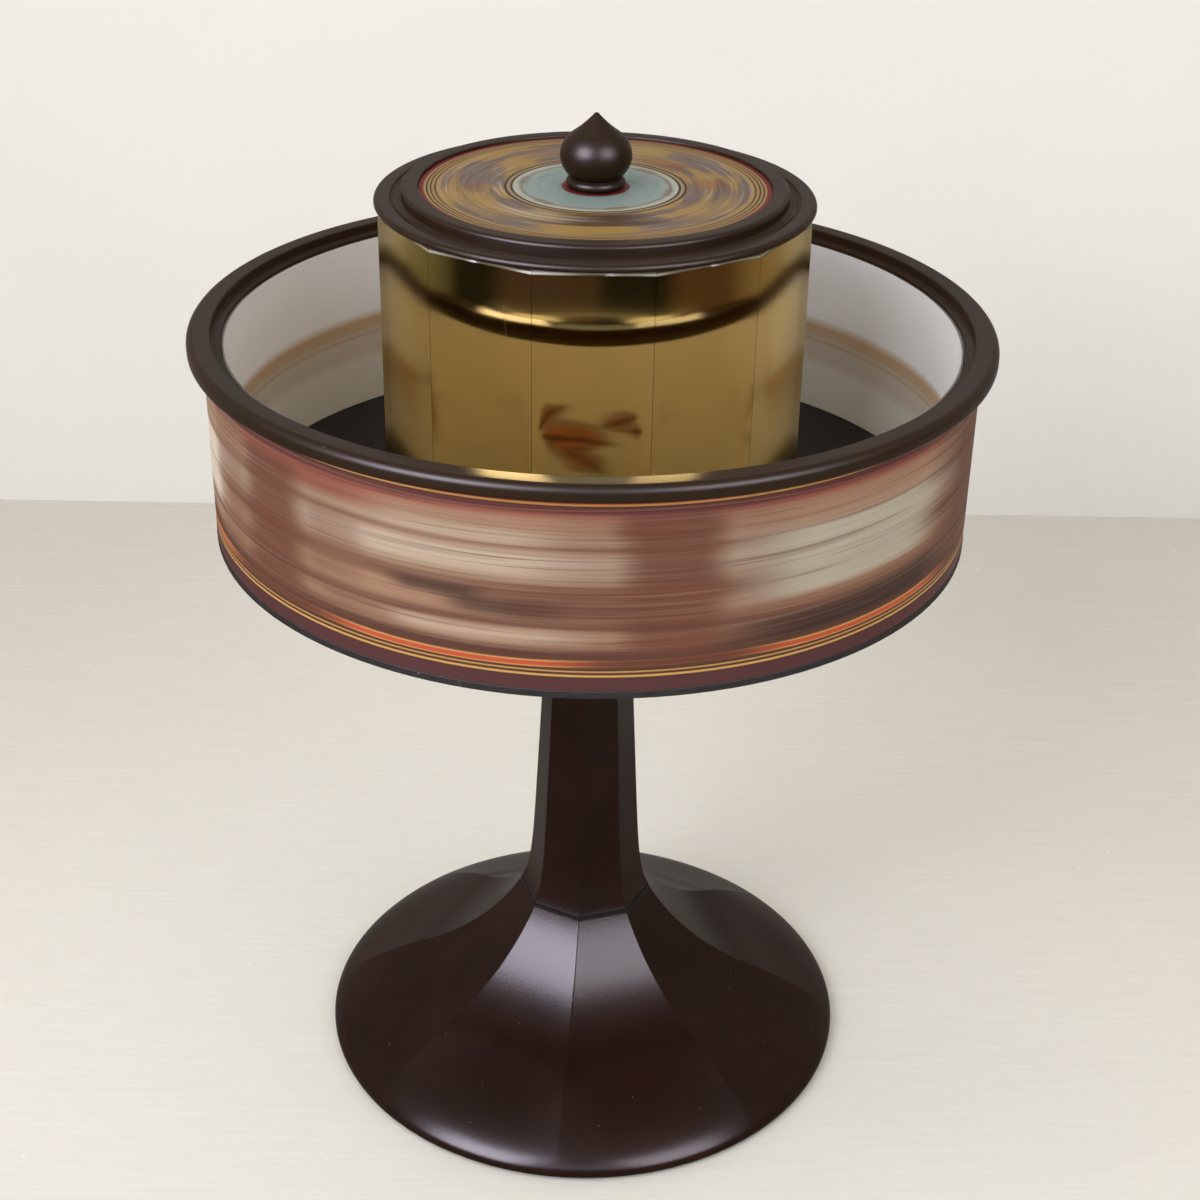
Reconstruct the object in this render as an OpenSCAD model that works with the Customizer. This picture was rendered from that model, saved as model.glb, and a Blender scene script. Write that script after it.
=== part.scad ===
// A praxinoscope: a column of flat mirrors stands in the middle of an open drum,
// a strip of pictures lines the drum's wall, and the drum spins on a steel
// spindle in an eight-sided stand that flares out into a round foot.
// Lengths are in millimetres. +Z is up, -Y is the front, and the origin is on
// the table under the middle of the stand.

/* [Drum] */
// Outer diameter of the moulded rim
rim_d = 230; // [226:1:236]
// Height of the drum's underside above the table
drum_z = 189.6; // [185:0.2:200]
// Height from the drum's underside to the lower edge of the rim
wall_h = 56.6; // [50:0.2:60]
// Thickness of the drum's wall
wall_t = 4.3; // [3.6:0.1:5]
// How far the rim stands out past the printed wall
rim_overhang = 4.4; // [3.4:0.2:5.4]
// Width of the ledge inside the rim
lip_w = 2.7; // [2:0.1:3]

/* [Pictures] */
// Thickness of the printed papers and the lining
paper_t = 0.3; // [0.2:0.05:0.35]
// Thickness of the card strip with the pictures
strip_t = 0.45; // [0.3:0.05:0.6]
// Gap round the strip, so that it lifts out past the rim
strip_gap = 0.4; // [0.3:0.05:0.8]

/* [Mirrors] */
// Number of mirrors
mirror_count = 12; // [10:1:14]
// Width of the mirror column across its corners
mirror_d = 122.4; // [116:0.2:122.8]
// Height of the lid's underside above the drum's underside
mirror_h = 95.4; // [94:0.2:100]
// Thickness of each mirror
mirror_t = 2.1; // [1.6:0.1:2.6]
// Height of the polished bevel along each mirror's top edge
bevel_h = 1.3; // [0.6:0.1:2]
// Turn of the first mirror away from the front
mirror_turn = 5; // [0:1:29]

/* [Lid and knob] */
// Outer diameter of the lid
lid_d = 123; // [123:0.5:126]
// Diameter of the printed disc let into the lid
lid_print_d = 98; // [90:1:100]
// Height of the knob above the printed disc
knob_h = 20.6; // [19.6:0.2:22]
// Largest diameter of the knob's bulb
knob_d = 20; // [18:0.5:22]

/* [Stand] */
// Diameter of the round foot
foot_d = 170; // [166:1:180]
// Height of the joint between the column and the foot
joint_z = 52; // [50:0.5:56]
// Width across the corners at that joint
joint_d = 42.8; // [42:0.2:46]
// Width across the corners at the column's top
neck_d = 23.2; // [22:0.2:26]
// Clear height between the column and the hub
hub_gap = 2; // [1.5:0.1:3]
// Thickness of the felt under the foot
felt_t = 0.8; // [0.6:0.1:1.2]

/* [Spindle] */
// Diameter of the threaded rod through the stand
rod_d = 6; // [5.6:0.2:6.4]
// Diameter of the bearing part of the spindle
journal_d = 5; // [4.4:0.1:5]
// Radial clearance of the spindle in its bushes
running_gap = 0.05; // [0.02:0.01:0.1]

/* [Hidden] */
$fn = 128;
dark = [0.16, 0.12, 0.10];
gold = [0.74, 0.58, 0.32];
cream = [0.78, 0.66, 0.54];
paper = [0.86, 0.85, 0.82];
board = [0.15, 0.14, 0.13];
beech = [0.72, 0.56, 0.38];
steel = [0.66, 0.67, 0.69];
brass = [0.78, 0.62, 0.30];
felt = [0.12, 0.12, 0.12];

// Heights in the drum. The strip stands a hair above the floor
floor_edge_t = 2.3;
floor_t = 2.9;
floor_z = drum_z + floor_t;
rim_z = drum_z + wall_h;
rim_h = 4.7;
ledge_drop = 2.7;
wall_top = rim_z + 0.8;
lid_z = drum_z + mirror_h;
strip_z = floor_z + 0.05;
strip_top = wall_top + 0.3;

// Radii in the drum, from the outside in
rim_r = rim_d / 2;
print_r = rim_r - rim_overhang;
wall_r = print_r - paper_t;
bore_r = wall_r - wall_t;
paste = 0.05;
lining_r = bore_r - paste;
lip_r = lining_r - paper_t - paste;
strip_r = lip_r - strip_gap;

// The mirror column: distances from the axis to flat faces
mirror_step = 360 / mirror_count;
mirror_face = mirror_d / 2 * cos(mirror_step / 2);
core_face = mirror_face - mirror_t;
core_wall = 3;
core_top_t = 4;
core_base_t = 8;
mirror_seam = 0.12;
glue = 0.1;

// The lid: heights above its underside
lid_r = lid_d / 2;
lid_bead_h = 1.9;
lid_top_h = 4.7;
lid_recess_h = 3.4;
lid_print_t = 0.5;
lid_print_z = lid_z + lid_recess_h + lid_print_t;
lid_print_r = lid_print_d / 2;
knob_bead_h = 2.85;
stud_r = 2;
stud_hole_r = 2.2;
stud_edge = 0.4;
stud_low = lid_z - 10.5;
stud_high = lid_print_z + 8.6;
cap_nut_af = 7;
cap_nut_h = 3.2;
washer_t = 1.2;

// The stand's outline, taken along its corners
foot_r = foot_d / 2;
joint_r = joint_d / 2;
neck_r = neck_d / 2;
flat = cos(22.5);
joint_edge = 0.5;
neck_edge = 0.4;
flare_h = 6.5;
joint_lean = 28;
crest_r = 56;
crest_z = joint_z - 30.3;
crest_slope = 20;
edge_z = 2.6;
round_from = 60;

// The foot's hollow and what closes it from below
shell_t = 5;
roof_z = joint_z - 12;
boss_r = 11;
boss_z = 16;
plate_t = 3;
plate_r = foot_r - 9;
plate_top = felt_t + plate_t;
hollow_r = plate_r - 6.5;
plate_screw_ring = plate_r - 3.5;
plate_screw_h = 8.4;
fit_gap = 0.2;
spigot_r = 12;
spigot_h = 4;

// The hub, from its flange under the floor to the seat over the ball
hub_flange_t = 3;
hub_flange_r = 20;
hub_z = drum_z - hub_flange_t;
hub_r = 7.5;
hub_edge = 0.6;
hub_screw_ring = 14;
hub_screw_h = 12;
ball_r = 2.4;
ball_seat_z = lid_z - 16.2;
hub_top = ball_seat_z + 2.7;
bush_r = 5;
bush_h = 12;
bush_inset = 0.5;

// The spindle: a threaded rod through the stand, then the journal and the tip
neck_top = hub_z - hub_gap;
neck_taper = 0.05;
rod_r = rod_d / 2;
rod_hole_r = rod_r + 0.3;
rod_foot_z = 6.5;
rod_edge = 0.6;
journal_r = journal_d / 2;
journal_top = ball_seat_z - 11.3;
tip_r = 2;
tip_edge = 0.5;
tip_z = ball_seat_z - 2 * ball_r - 0.05;
thread_gap = 0.02;
nut_af = 10;
nut_h = 5;
base_washer_t = 1.5;
nut_pocket_r = 6.4;
nut_pocket_z = neck_top - 7;
screw_r = 1.5;
screw_hole_r = 1.55;

function two_digits(i) = str(i < 10 ? "0" : "", i);
function mirror_name(i) = str("mirror_", two_digits(i));

// Points along a round stretch, and along a cubic curve with four control points
function arc(c, r, from, to, n = 6) =
    [for (i = [0 : n]) let (a = from + (to - from) * i / n) c + r * [cos(a), sin(a)]];
function curve(p, n) =
    [for (i = [0 : n]) let (t = i / n, s = 1 - t)
        s * s * s * p[0] + 3 * s * s * t * p[1] + 3 * s * t * t * p[2] + t * t * t * p[3]];

// A plain ring, and copies set round the axis
module ring(outer, inner, z0, z1) {
    difference() {
        translate([0, 0, z0]) cylinder(r = outer, h = z1 - z0);
        translate([0, 0, z0 - 1]) cylinder(r = inner, h = z1 - z0 + 2);
    }
}
module around(n, r, first = 0) {
    for (i = [0 : n - 1])
        rotate([0, 0, first + i * 360 / n]) translate([r, 0, 0]) children();
}
module hex_nut(af, hole, z, h) {
    translate([0, 0, z]) difference() {
        cylinder(d = af / cos(30), h = h, $fn = 6);
        translate([0, 0, -1]) cylinder(r = hole, h = h + 2);
    }
}
// A countersunk screw that points up from its flat head, and the holes for it
module countersunk(z, length) {
    point_h = 1;
    translate([0, 0, z]) {
        cylinder(r1 = 2 * screw_r, r2 = screw_r, h = screw_r);
        cylinder(r = screw_r, h = length - point_h);
        translate([0, 0, length - point_h]) cylinder(r1 = screw_r, r2 = 0.4, h = point_h);
    }
}
module countersunk_hole(z, length) {
    translate([0, 0, z - 0.01]) cylinder(r1 = 2 * screw_r + 0.05, r2 = screw_hole_r, h = screw_r);
    translate([0, 0, z - 1]) cylinder(r = screw_hole_r, h = length + 2);
}
module hub_screw_holes(z, length) {
    around(4, hub_screw_ring, 45) translate([0, 0, z - 1]) cylinder(r = screw_hole_r, h = length + 2);
}

// Stand: the corner line runs down the flare, over the shoulder and round the foot's edge
shoulder_line = curve(
    [[crest_r, crest_z],
     [crest_r + 10.8 * cos(crest_slope), crest_z - 10.8 * sin(crest_slope)],
     [foot_r, edge_z + 4.1],
     [foot_r, edge_z]], 11);
foot_line = concat(
    [[joint_r - joint_edge, joint_z]],
    curve([[joint_r, joint_z - joint_edge],
           [joint_r + 14 * sin(joint_lean), joint_z - joint_edge - 14 * cos(joint_lean)],
           [crest_r - 16.5 * cos(crest_slope), crest_z + 16.5 * sin(crest_slope)],
           [crest_r, crest_z]], 13),
    [for (i = [1 : 11]) shoulder_line[i]],
    [[foot_r, 1.6], [foot_r - 0.8, felt_t]]
);

// The section is an octagon at the joint and turns into a circle at the foot's edge
function roundness(r) =
    let (t = min(1, max(0, (r - round_from) / (foot_r - round_from))))
    t * t * (3 - 2 * t);
function section_r(corner, a) =
    let (side = corner * flat / cos((a % 45) - 22.5), w = roundness(corner))
    side + w * (corner - side);
steps = 64;

module foot_loft() {
    rows = len(foot_line);
    points = [for (p = foot_line) for (i = [0 : steps - 1])
        let (a = i * 360 / steps, r = section_r(p[0], a)) [r * cos(a), r * sin(a), p[1]]];
    sides = [for (k = [0 : rows - 2]) for (i = [0 : steps - 1])
        let (j = (i + 1) % steps, u = k * steps, v = (k + 1) * steps)
        each [[u + i, u + j, v + i], [u + j, v + j, v + i]]];
    top = [[for (i = [0 : steps - 1]) steps - 1 - i]];
    bottom = [[for (i = [0 : steps - 1]) (rows - 1) * steps + i]];
    polyhedron(points = points, faces = concat(sides, top, bottom));
}

// The foot is a shell: its hollow follows the flare and leaves a boss for the spindle
module foot_hollow() {
    inside = [for (p = foot_line)
        let (r = p[0] * flat - shell_t, z = p[1] - shell_t)
        if (z < roof_z && z > plate_top + 0.3 && r < hollow_r) [r, z]];
    rotate_extrude($fn = 72) polygon(concat(
        [[0, plate_top], [0, boss_z], [boss_r, boss_z], [boss_r, roof_z], [inside[0][0] - 2, roof_z]],
        inside,
        [[hollow_r, plate_top]]));
}

module foot() color(dark) {
    difference() {
        foot_loft();
        foot_hollow();
        translate([0, 0, -1]) cylinder(r = plate_r + fit_gap, h = plate_top + 1);
        cylinder(r = rod_hole_r, h = joint_z + 1);
        translate([0, 0, joint_z - spigot_h - 2 * fit_gap])
            cylinder(r = spigot_r + fit_gap, h = spigot_h + 1);
        around(3, plate_screw_ring, 30) cylinder(r = screw_hole_r, h = felt_t + plate_screw_h + 0.4);
    }
}

module base_plate() color(board) difference() {
    translate([0, 0, felt_t]) cylinder(r = plate_r, h = plate_t);
    around(3, plate_screw_ring, 30) countersunk_hole(felt_t, plate_t);
}

module plate_screws() color(steel)
    around(3, plate_screw_ring, 30) countersunk(felt_t, plate_screw_h);

module felt_pad() color(felt) cylinder(r = plate_r - 0.5, h = felt_t);

// The column's corner line: a slow taper and a short flare just above the joint
function neck_line(z) =
    neck_r + neck_taper * (neck_top - z)
    + (joint_r - neck_r - neck_taper * (neck_top - joint_z)) * exp(-(z - joint_z) / flare_h);
neck_low = joint_z + joint_edge;
neck_high = neck_top - neck_edge;
neck_points = concat(
    [[joint_r - joint_edge, joint_z]],
    [for (i = [0 : 18]) let (z = neck_low + (neck_high - neck_low) * pow(i / 18, 2)) [neck_line(z), z]],
    [[neck_r - neck_edge, neck_top]]
);

// Four slabs that cross at 45 degrees leave the octagon
module neck_slab() {
    right = [for (p = neck_points) [p[0] * flat, p[1]]];
    left = [for (i = [len(right) - 1 : -1 : 0]) [-right[i][0], right[i][1]]];
    rotate([90, 0, 0]) linear_extrude(height = 2 * joint_d, center = true)
        polygon(concat(right, left));
}

module column() color(dark) difference() {
    union() {
        intersection() {
            rotate([0, 0, 22.5]) neck_slab();
            rotate([0, 0, 67.5]) neck_slab();
            rotate([0, 0, -22.5]) neck_slab();
            rotate([0, 0, -67.5]) neck_slab();
        }
        translate([0, 0, joint_z - spigot_h]) cylinder(r = spigot_r, h = spigot_h + 1);
    }
    translate([0, 0, joint_z - spigot_h - 1]) cylinder(r = rod_hole_r, h = neck_top);
    translate([0, 0, nut_pocket_z]) cylinder(r = nut_pocket_r, h = neck_top - nut_pocket_z + 1);
}

// Spindle: a threaded rod that clamps the stand, turned down to a journal above it
module spindle() color(steel) rotate_extrude() polygon([
    [0, rod_foot_z], [rod_r - rod_edge, rod_foot_z], [rod_r, rod_foot_z + rod_edge],
    [rod_r, neck_top - 1], [rod_r - 0.3, neck_top - rod_edge], [journal_r, neck_top - rod_edge],
    [journal_r, journal_top - tip_edge], [tip_r, journal_top], [tip_r, tip_z - tip_edge],
    [tip_r - tip_edge, tip_z], [0, tip_z]]);
module base_washer() color(steel) ring(9, rod_r + fit_gap, boss_z - base_washer_t, boss_z);
module base_nut() color(steel)
    hex_nut(nut_af, rod_r + thread_gap, boss_z - base_washer_t - nut_h, nut_h);
module column_washer() color(steel)
    ring(nut_pocket_r - fit_gap, rod_r + fit_gap, nut_pocket_z, nut_pocket_z + washer_t);
module column_nut() color(steel)
    hex_nut(nut_af, rod_r + thread_gap, nut_pocket_z + washer_t, nut_h);

// Hub: a flange under the drum's floor and a tube that stands up inside the mirrors
module hub() color(steel) difference() {
    union() {
        translate([0, 0, hub_z]) cylinder(r = hub_flange_r, h = hub_flange_t);
        translate([0, 0, hub_z]) cylinder(r = hub_r, h = hub_top - hub_z - hub_edge);
        translate([0, 0, hub_top - hub_edge]) cylinder(r1 = hub_r, r2 = hub_r - hub_edge, h = hub_edge);
    }
    translate([0, 0, hub_z - 1]) cylinder(r = bush_r, h = journal_top + bush_inset - hub_z + 1);
    translate([0, 0, journal_top]) cylinder(r = ball_r + 0.1, h = ball_seat_z - journal_top);
    around(4, hub_screw_ring, 45) countersunk_hole(hub_z, hub_flange_t);
}
module hub_screws() color(steel) around(4, hub_screw_ring, 45) countersunk(hub_z, hub_screw_h);
module bush(z) {
    ring(bush_r - thread_gap, journal_r + running_gap, z, z + bush_h);
}
module lower_bush() color(brass) bush(hub_z + bush_inset);
module upper_bush() color(brass) bush(journal_top - bush_inset - bush_h);
module pivot_ball() color(steel) translate([0, 0, ball_seat_z - ball_r]) sphere(r = ball_r);

// Drum: a stepped floor, a wall that stands on its ledge and a moulded rim on top
module drum_floor() color(board) difference() {
    rotate_extrude() polygon([
        [hub_r + fit_gap, drum_z], [print_r - 0.4, drum_z], [print_r + 0.1, drum_z + 0.4],
        [print_r + 0.1, drum_z + floor_edge_t - 0.2], [print_r - 0.1, drum_z + floor_edge_t],
        [bore_r - 0.1, drum_z + floor_edge_t], [bore_r - 0.1, floor_z], [hub_r + fit_gap, floor_z]]);
    hub_screw_holes(drum_z, floor_t);
}
module drum_wall() color(beech) ring(wall_r, bore_r, drum_z + floor_edge_t, wall_top);
module wall_print() color(cream)
    ring(print_r, wall_r, drum_z + floor_edge_t + paste, rim_z - paste);
module wall_lining() color(paper) ring(lining_r, lining_r - paper_t, floor_z, wall_top);

module rim() color(dark) {
    top = rim_z + rim_h;
    ledge_z = top - ledge_drop;
    step_r = lip_r + lip_w;
    rotate_extrude() polygon(concat(
        [[print_r + paste, wall_top], [lip_r, wall_top]],
        arc([lip_r + 0.6, ledge_z - 0.6], 0.6, 180, 90, 4),
        [[step_r - 0.4, ledge_z], [step_r, ledge_z + 0.4]],
        arc([step_r + 0.5, top - 0.5], 0.5, 180, 90, 4),
        arc([rim_r - 2.4, top - 2.4], 2.4, 90, 0, 8),
        arc([rim_r - 1.2, rim_z + 1.2], 1.2, 0, -90, 6),
        [[print_r + paste, rim_z]]));
}

// Mirror column: a hollow core with one flat side for each mirror
module prism(face, z0, z1) {
    translate([0, 0, z0]) rotate([0, 0, mirror_turn - 90 + mirror_step / 2])
        linear_extrude(height = z1 - z0)
            polygon([for (i = [0 : mirror_count - 1]) face / cos(mirror_step / 2)
                * [cos(i * mirror_step), sin(i * mirror_step)]]);
}
module core_base() color(beech) difference() {
    prism(core_face - core_wall - glue, floor_z, floor_z + core_base_t);
    translate([0, 0, floor_z - 1]) cylinder(r = hub_r + fit_gap, h = core_base_t + 2);
    hub_screw_holes(floor_z, core_base_t);
}
module core_sides() color(beech) difference() {
    prism(core_face, floor_z, lid_z - core_top_t);
    prism(core_face - core_wall, floor_z - 1, lid_z);
}
module core_top() color(beech) difference() {
    prism(core_face, lid_z - core_top_t, lid_z);
    translate([0, 0, lid_z - core_top_t - 1]) cylinder(r = stud_hole_r, h = core_top_t + 2);
}

// Each mirror is a flat plate with mitred sides and a bevel along its top edge
module mirror_plate(i) {
    top = lid_z - glue;
    half = tan(mirror_step / 2);
    color(gold) rotate([0, 0, mirror_turn - 90 + (i - 1) * mirror_step]) intersection() {
        translate([0, 0, floor_z]) linear_extrude(height = top - floor_z) polygon([
            [core_face, -core_face * half + mirror_seam / 2],
            [mirror_face, -mirror_face * half + mirror_seam / 2],
            [mirror_face, mirror_face * half - mirror_seam / 2],
            [core_face, core_face * half - mirror_seam / 2]]);
        rotate([90, 0, 0]) linear_extrude(height = mirror_d, center = true) polygon([
            [core_face, floor_z], [mirror_face, floor_z], [mirror_face, top - bevel_h],
            [mirror_face - 0.6 * bevel_h, top], [core_face, top]]);
    }
}

// Lid: a bead round the edge, a cove, and a raised ring that holds the printed disc
module lid() color(dark) {
    bead = lid_z + lid_bead_h;
    top = lid_z + lid_top_h;
    step_r = lid_print_r + 4.9;
    rotate_extrude() polygon(concat(
        [[stud_hole_r, lid_z], [lid_r - 0.6, lid_z], [lid_r, lid_z + 0.6]],
        arc([lid_r - 1.2, bead - 1.2], 1.2, 0, 90, 6),
        [[step_r + 3.4, bead]],
        curve([[step_r + 2.7, bead - 0.4], [step_r + 2.2, bead - 0.8], [step_r + 0.7, bead - 0.8],
               [step_r, bead - 0.2]], 5),
        arc([step_r - 1.1, top - 1.1], 1.1, 0, 90, 6),
        arc([lid_print_r + 0.5, top - 0.4], 0.4, 90, 180, 3),
        [[lid_print_r + 0.1, lid_z + lid_recess_h], [stud_hole_r, lid_z + lid_recess_h]]));
}
module lid_print() color(cream) ring(lid_print_r, stud_hole_r, lid_print_z - lid_print_t, lid_print_z);

// Knob: a bead at the foot, a bulb and a tip that is drawn up to a point
module knob() color(dark) {
    z = lid_print_z;
    bead_r = 1.4;
    bulb_r = knob_d / 2;
    bulb_h = 0.83 * bulb_r;
    bulb_from = -47;
    bulb_to = 52;
    bulb_z = z + knob_bead_h - bulb_h * sin(bulb_from);
    top = z + knob_h;
    bulb = [for (i = [0 : 16])
        let (a = bulb_from + (bulb_to - bulb_from) * i / 16) [bulb_r * cos(a), bulb_z + bulb_h * sin(a)]];
    neck = bulb[16];
    bore_top = stud_high + 0.6;
    rotate_extrude() polygon(concat(
        [[stud_r + thread_gap, z], [bulb_r - 3, z]],
        arc([bulb_r - 3.1, z + bead_r], bead_r, -80, 70, 7),
        [bulb[0] + [0, -0.15]],
        bulb,
        curve([neck, neck + [-2.5, 1.75], [2.2, top - 1.85], [0.77, top - 0.47]], 9),
        arc([0, top - 1], 1, 40, 90, 3),
        [[0, bore_top], [stud_r + thread_gap, bore_top]]));
}
module knob_stud() color(steel) rotate_extrude() polygon([
    [0, stud_low], [stud_r - stud_edge, stud_low], [stud_r, stud_low + stud_edge],
    [stud_r, stud_high - stud_edge], [stud_r - stud_edge, stud_high], [0, stud_high]]);
module knob_washer() color(steel)
    ring(5, stud_hole_r, lid_z - core_top_t - washer_t, lid_z - core_top_t);
module knob_nut() color(steel)
    hex_nut(cap_nut_af, stud_r + thread_gap, lid_z - core_top_t - washer_t - cap_nut_h, cap_nut_h);

// The card strip stands loose on the drum's floor and lifts straight out
module picture_strip() color(paper) ring(strip_r, strip_r - strip_t, strip_z, strip_top);

felt_pad();
base_plate();
plate_screws();
foot();
column();
spindle();
base_washer();
base_nut();
column_washer();
column_nut();
hub();
hub_screws();
lower_bush();
upper_bush();
pivot_ball();
drum_floor();
drum_wall();
wall_print();
wall_lining();
rim();
core_base();
core_sides();
core_top();
for (i = [1 : mirror_count])
    mirror_plate(i);
lid();
lid_print();
knob_stud();
knob_washer();
knob_nut();
knob();
picture_strip();
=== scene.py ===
"""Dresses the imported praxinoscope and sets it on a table.

The frame's nodes keep their places. The dark mouldings are swept again with
finer sections, every surface gets its finish, and a pale table, a wall and soft
lights are set up at the photograph's viewing angle.
"""
from math import cos, exp, pi, radians, sin, tau

import bmesh
import bpy
from bpy.props import FloatProperty, FloatVectorProperty, IntProperty, PointerProperty
from mathutils import Matrix, Vector


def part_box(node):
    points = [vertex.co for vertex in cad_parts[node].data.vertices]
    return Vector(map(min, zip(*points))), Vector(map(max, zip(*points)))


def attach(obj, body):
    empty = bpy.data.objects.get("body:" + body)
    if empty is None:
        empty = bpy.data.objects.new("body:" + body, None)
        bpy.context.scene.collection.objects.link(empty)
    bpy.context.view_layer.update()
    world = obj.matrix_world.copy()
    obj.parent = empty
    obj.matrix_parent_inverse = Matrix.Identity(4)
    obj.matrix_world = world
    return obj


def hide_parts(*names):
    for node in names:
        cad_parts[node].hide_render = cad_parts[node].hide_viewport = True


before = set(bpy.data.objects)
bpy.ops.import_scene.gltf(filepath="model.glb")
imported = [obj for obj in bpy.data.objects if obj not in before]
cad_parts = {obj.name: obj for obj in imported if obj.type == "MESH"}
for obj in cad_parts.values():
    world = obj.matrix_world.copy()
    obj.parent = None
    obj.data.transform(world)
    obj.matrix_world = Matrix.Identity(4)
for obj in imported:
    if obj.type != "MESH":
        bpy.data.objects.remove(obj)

bl_info = {
    "name": "Praxinoscope",
    "version": (1, 0, 0),
    "blender": (4, 5, 0),
    "location": "3D View > Sidebar > Praxinoscope",
    "description": "Makes the mouldings, the finishes and the stage of a praxinoscope",
    "category": "Object",
}

MM = 0.001
# The camera stands this far round from the front. The prints are laid out for its view.
CAMERA_TURN = radians(5.05)
# The strip's first picture stands this many degrees past the camera's side
SPRAY_SHIFT = 2.0
# Radius of the eight-sided stand's corners at the joint of foot and column, in millimetres
JOINT_R = 21.4
BLACK = (0.0, 0.0, 0.0)


def printed(r, g, b):
    """A colour as it shows on a screen, 0 to 255, turned into linear light."""
    return tuple((c / 3294.6) if c <= 10 else ((c / 255 + 0.055) / 1.055) ** 2.4
                 for c in (r, g, b))


def shade(colour, share):
    """A colour with this share of its light left."""
    return tuple(share * c for c in colour)


def eased(t):
    """A smooth step from 0 to 1 as t goes from 0 to 1."""
    t = min(1.0, max(0.0, t))
    return t * t * (3 - 2 * t)


def colour_property(name, description, rgb):
    return FloatVectorProperty(name=name, description=description, default=printed(*rgb),
                               subtype="COLOR", size=3, min=0.0, max=1.0)


class MouldingSettings(bpy.types.PropertyGroup):
    colour: colour_property("Moulding", "Colour of the dark mouldings", (33, 17, 9))
    warm_colour: colour_property("Moulding, warm", "Browner patches in the mouldings",
                                 (40, 21, 12))
    turned_colour: colour_property("Turned parts", "Colour of the rim, the lid and the knob",
                                   (42, 28, 13))
    turned_warm: colour_property("Turned parts, warm", "Browner patches in them", (47, 30, 14))
    edge_softness: FloatProperty(
        name="Edge softness", description="Radius of the stand's eight edges",
        default=0.9 * MM, min=0.2 * MM, max=3 * MM, unit="LENGTH")
    stand_steps: IntProperty(
        name="Stand steps", description="Sections round the stand, a multiple of eight",
        default=320, min=64, max=512)
    turned_steps: IntProperty(
        name="Turned steps", description="Sections round the rim, lid and knob",
        default=256, min=64, max=512)


class MirrorSettings(bpy.types.PropertyGroup):
    tint: FloatVectorProperty(
        name="Mirror tint", description="Colour that the mirrors give to what they show",
        default=(0.65, 0.46, 0.155), subtype="COLOR", size=3, min=0.0, max=1.0)
    haze: FloatProperty(
        name="Haze", description="How far the polish is from perfect",
        default=0.085, min=0.0, max=0.5, subtype="FACTOR")


class PrintSettings(bpy.types.PropertyGroup):
    # White is used only for the painted highlight at the left of the wall print
    white: colour_property("White", "Lightest picture", (222, 206, 190))
    cream: colour_property("Cream", "Lightest colour of the pictures on the wall", (194, 174, 154))
    pale: colour_property("Pale green", "Greenish cream of the pictures", (184, 176, 158))
    sand: colour_property("Sand", "Dull cream", (172, 146, 124))
    peach: colour_property("Peach", "Warm middle colour", (166, 128, 104))
    tan: colour_property("Tan", "Browner middle colour", (134, 98, 78))
    rose: colour_property("Rose", "Pinkish shade near the top of the wall", (152, 80, 68))
    red: colour_property("Red", "Redder shade over the posts", (112, 58, 54))
    rust: colour_property("Rust", "Streaks between the pictures", (112, 72, 56))
    post: colour_property("Post", "Colour of the posts", (122, 74, 54))
    brown: colour_property("Brown", "Shade below the pictures", (92, 58, 45))
    umber: colour_property("Umber", "Darkest printed colour", (62, 43, 35))
    maroon: colour_property("Maroon", "Bands along both edges", (86, 50, 50))
    orange: colour_property("Orange", "Garland round the wall", (192, 84, 52))
    gold: colour_property("Gold", "Thin lines", (206, 156, 92))
    teal: colour_property("Grey green", "Disc in the middle of the lid", (128, 141, 136))


class StageSettings(bpy.types.PropertyGroup):
    table: colour_property("Table", "Colour of the table", (229, 223, 212))
    wall: colour_property("Wall", "Colour of the wall behind", (243, 240, 233))
    sky: FloatProperty(name="Room light", description="Strength of the light from all round",
                       default=0.62, min=0.0, max=3.0)
    lens: FloatProperty(name="Lens", description="Focal length of the camera",
                        default=60.32, min=10.0, max=300.0, subtype="NONE")


SETTINGS = {
    "praxinoscope_moulding": MouldingSettings,
    "praxinoscope_mirror": MirrorSettings,
    "praxinoscope_print": PrintSettings,
    "praxinoscope_stage": StageSettings,
}


# Laying nodes

def sign(operation, swapped=False):
    """A method that lays one math node for a Value and what stands beside it."""
    def method(self, *others):
        return self.board.math(operation, *((*others, self) if swapped else (self, *others)))
    return method


class Value:
    """A node's output, which the usual signs work on."""

    def __init__(self, board, socket):
        self.board, self.socket = board, socket

    __add__ = __radd__ = sign("ADD")
    __sub__, __rsub__ = sign("SUBTRACT"), sign("SUBTRACT", swapped=True)
    __mul__ = __rmul__ = sign("MULTIPLY")
    __truediv__, __rtruediv__ = sign("DIVIDE"), sign("DIVIDE", swapped=True)
    __pow__, __abs__, larger = sign("POWER"), sign("ABSOLUTE"), sign("MAXIMUM")
    cos, sin, tan = sign("COSINE"), sign("SINE"), sign("TANGENT")


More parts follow.
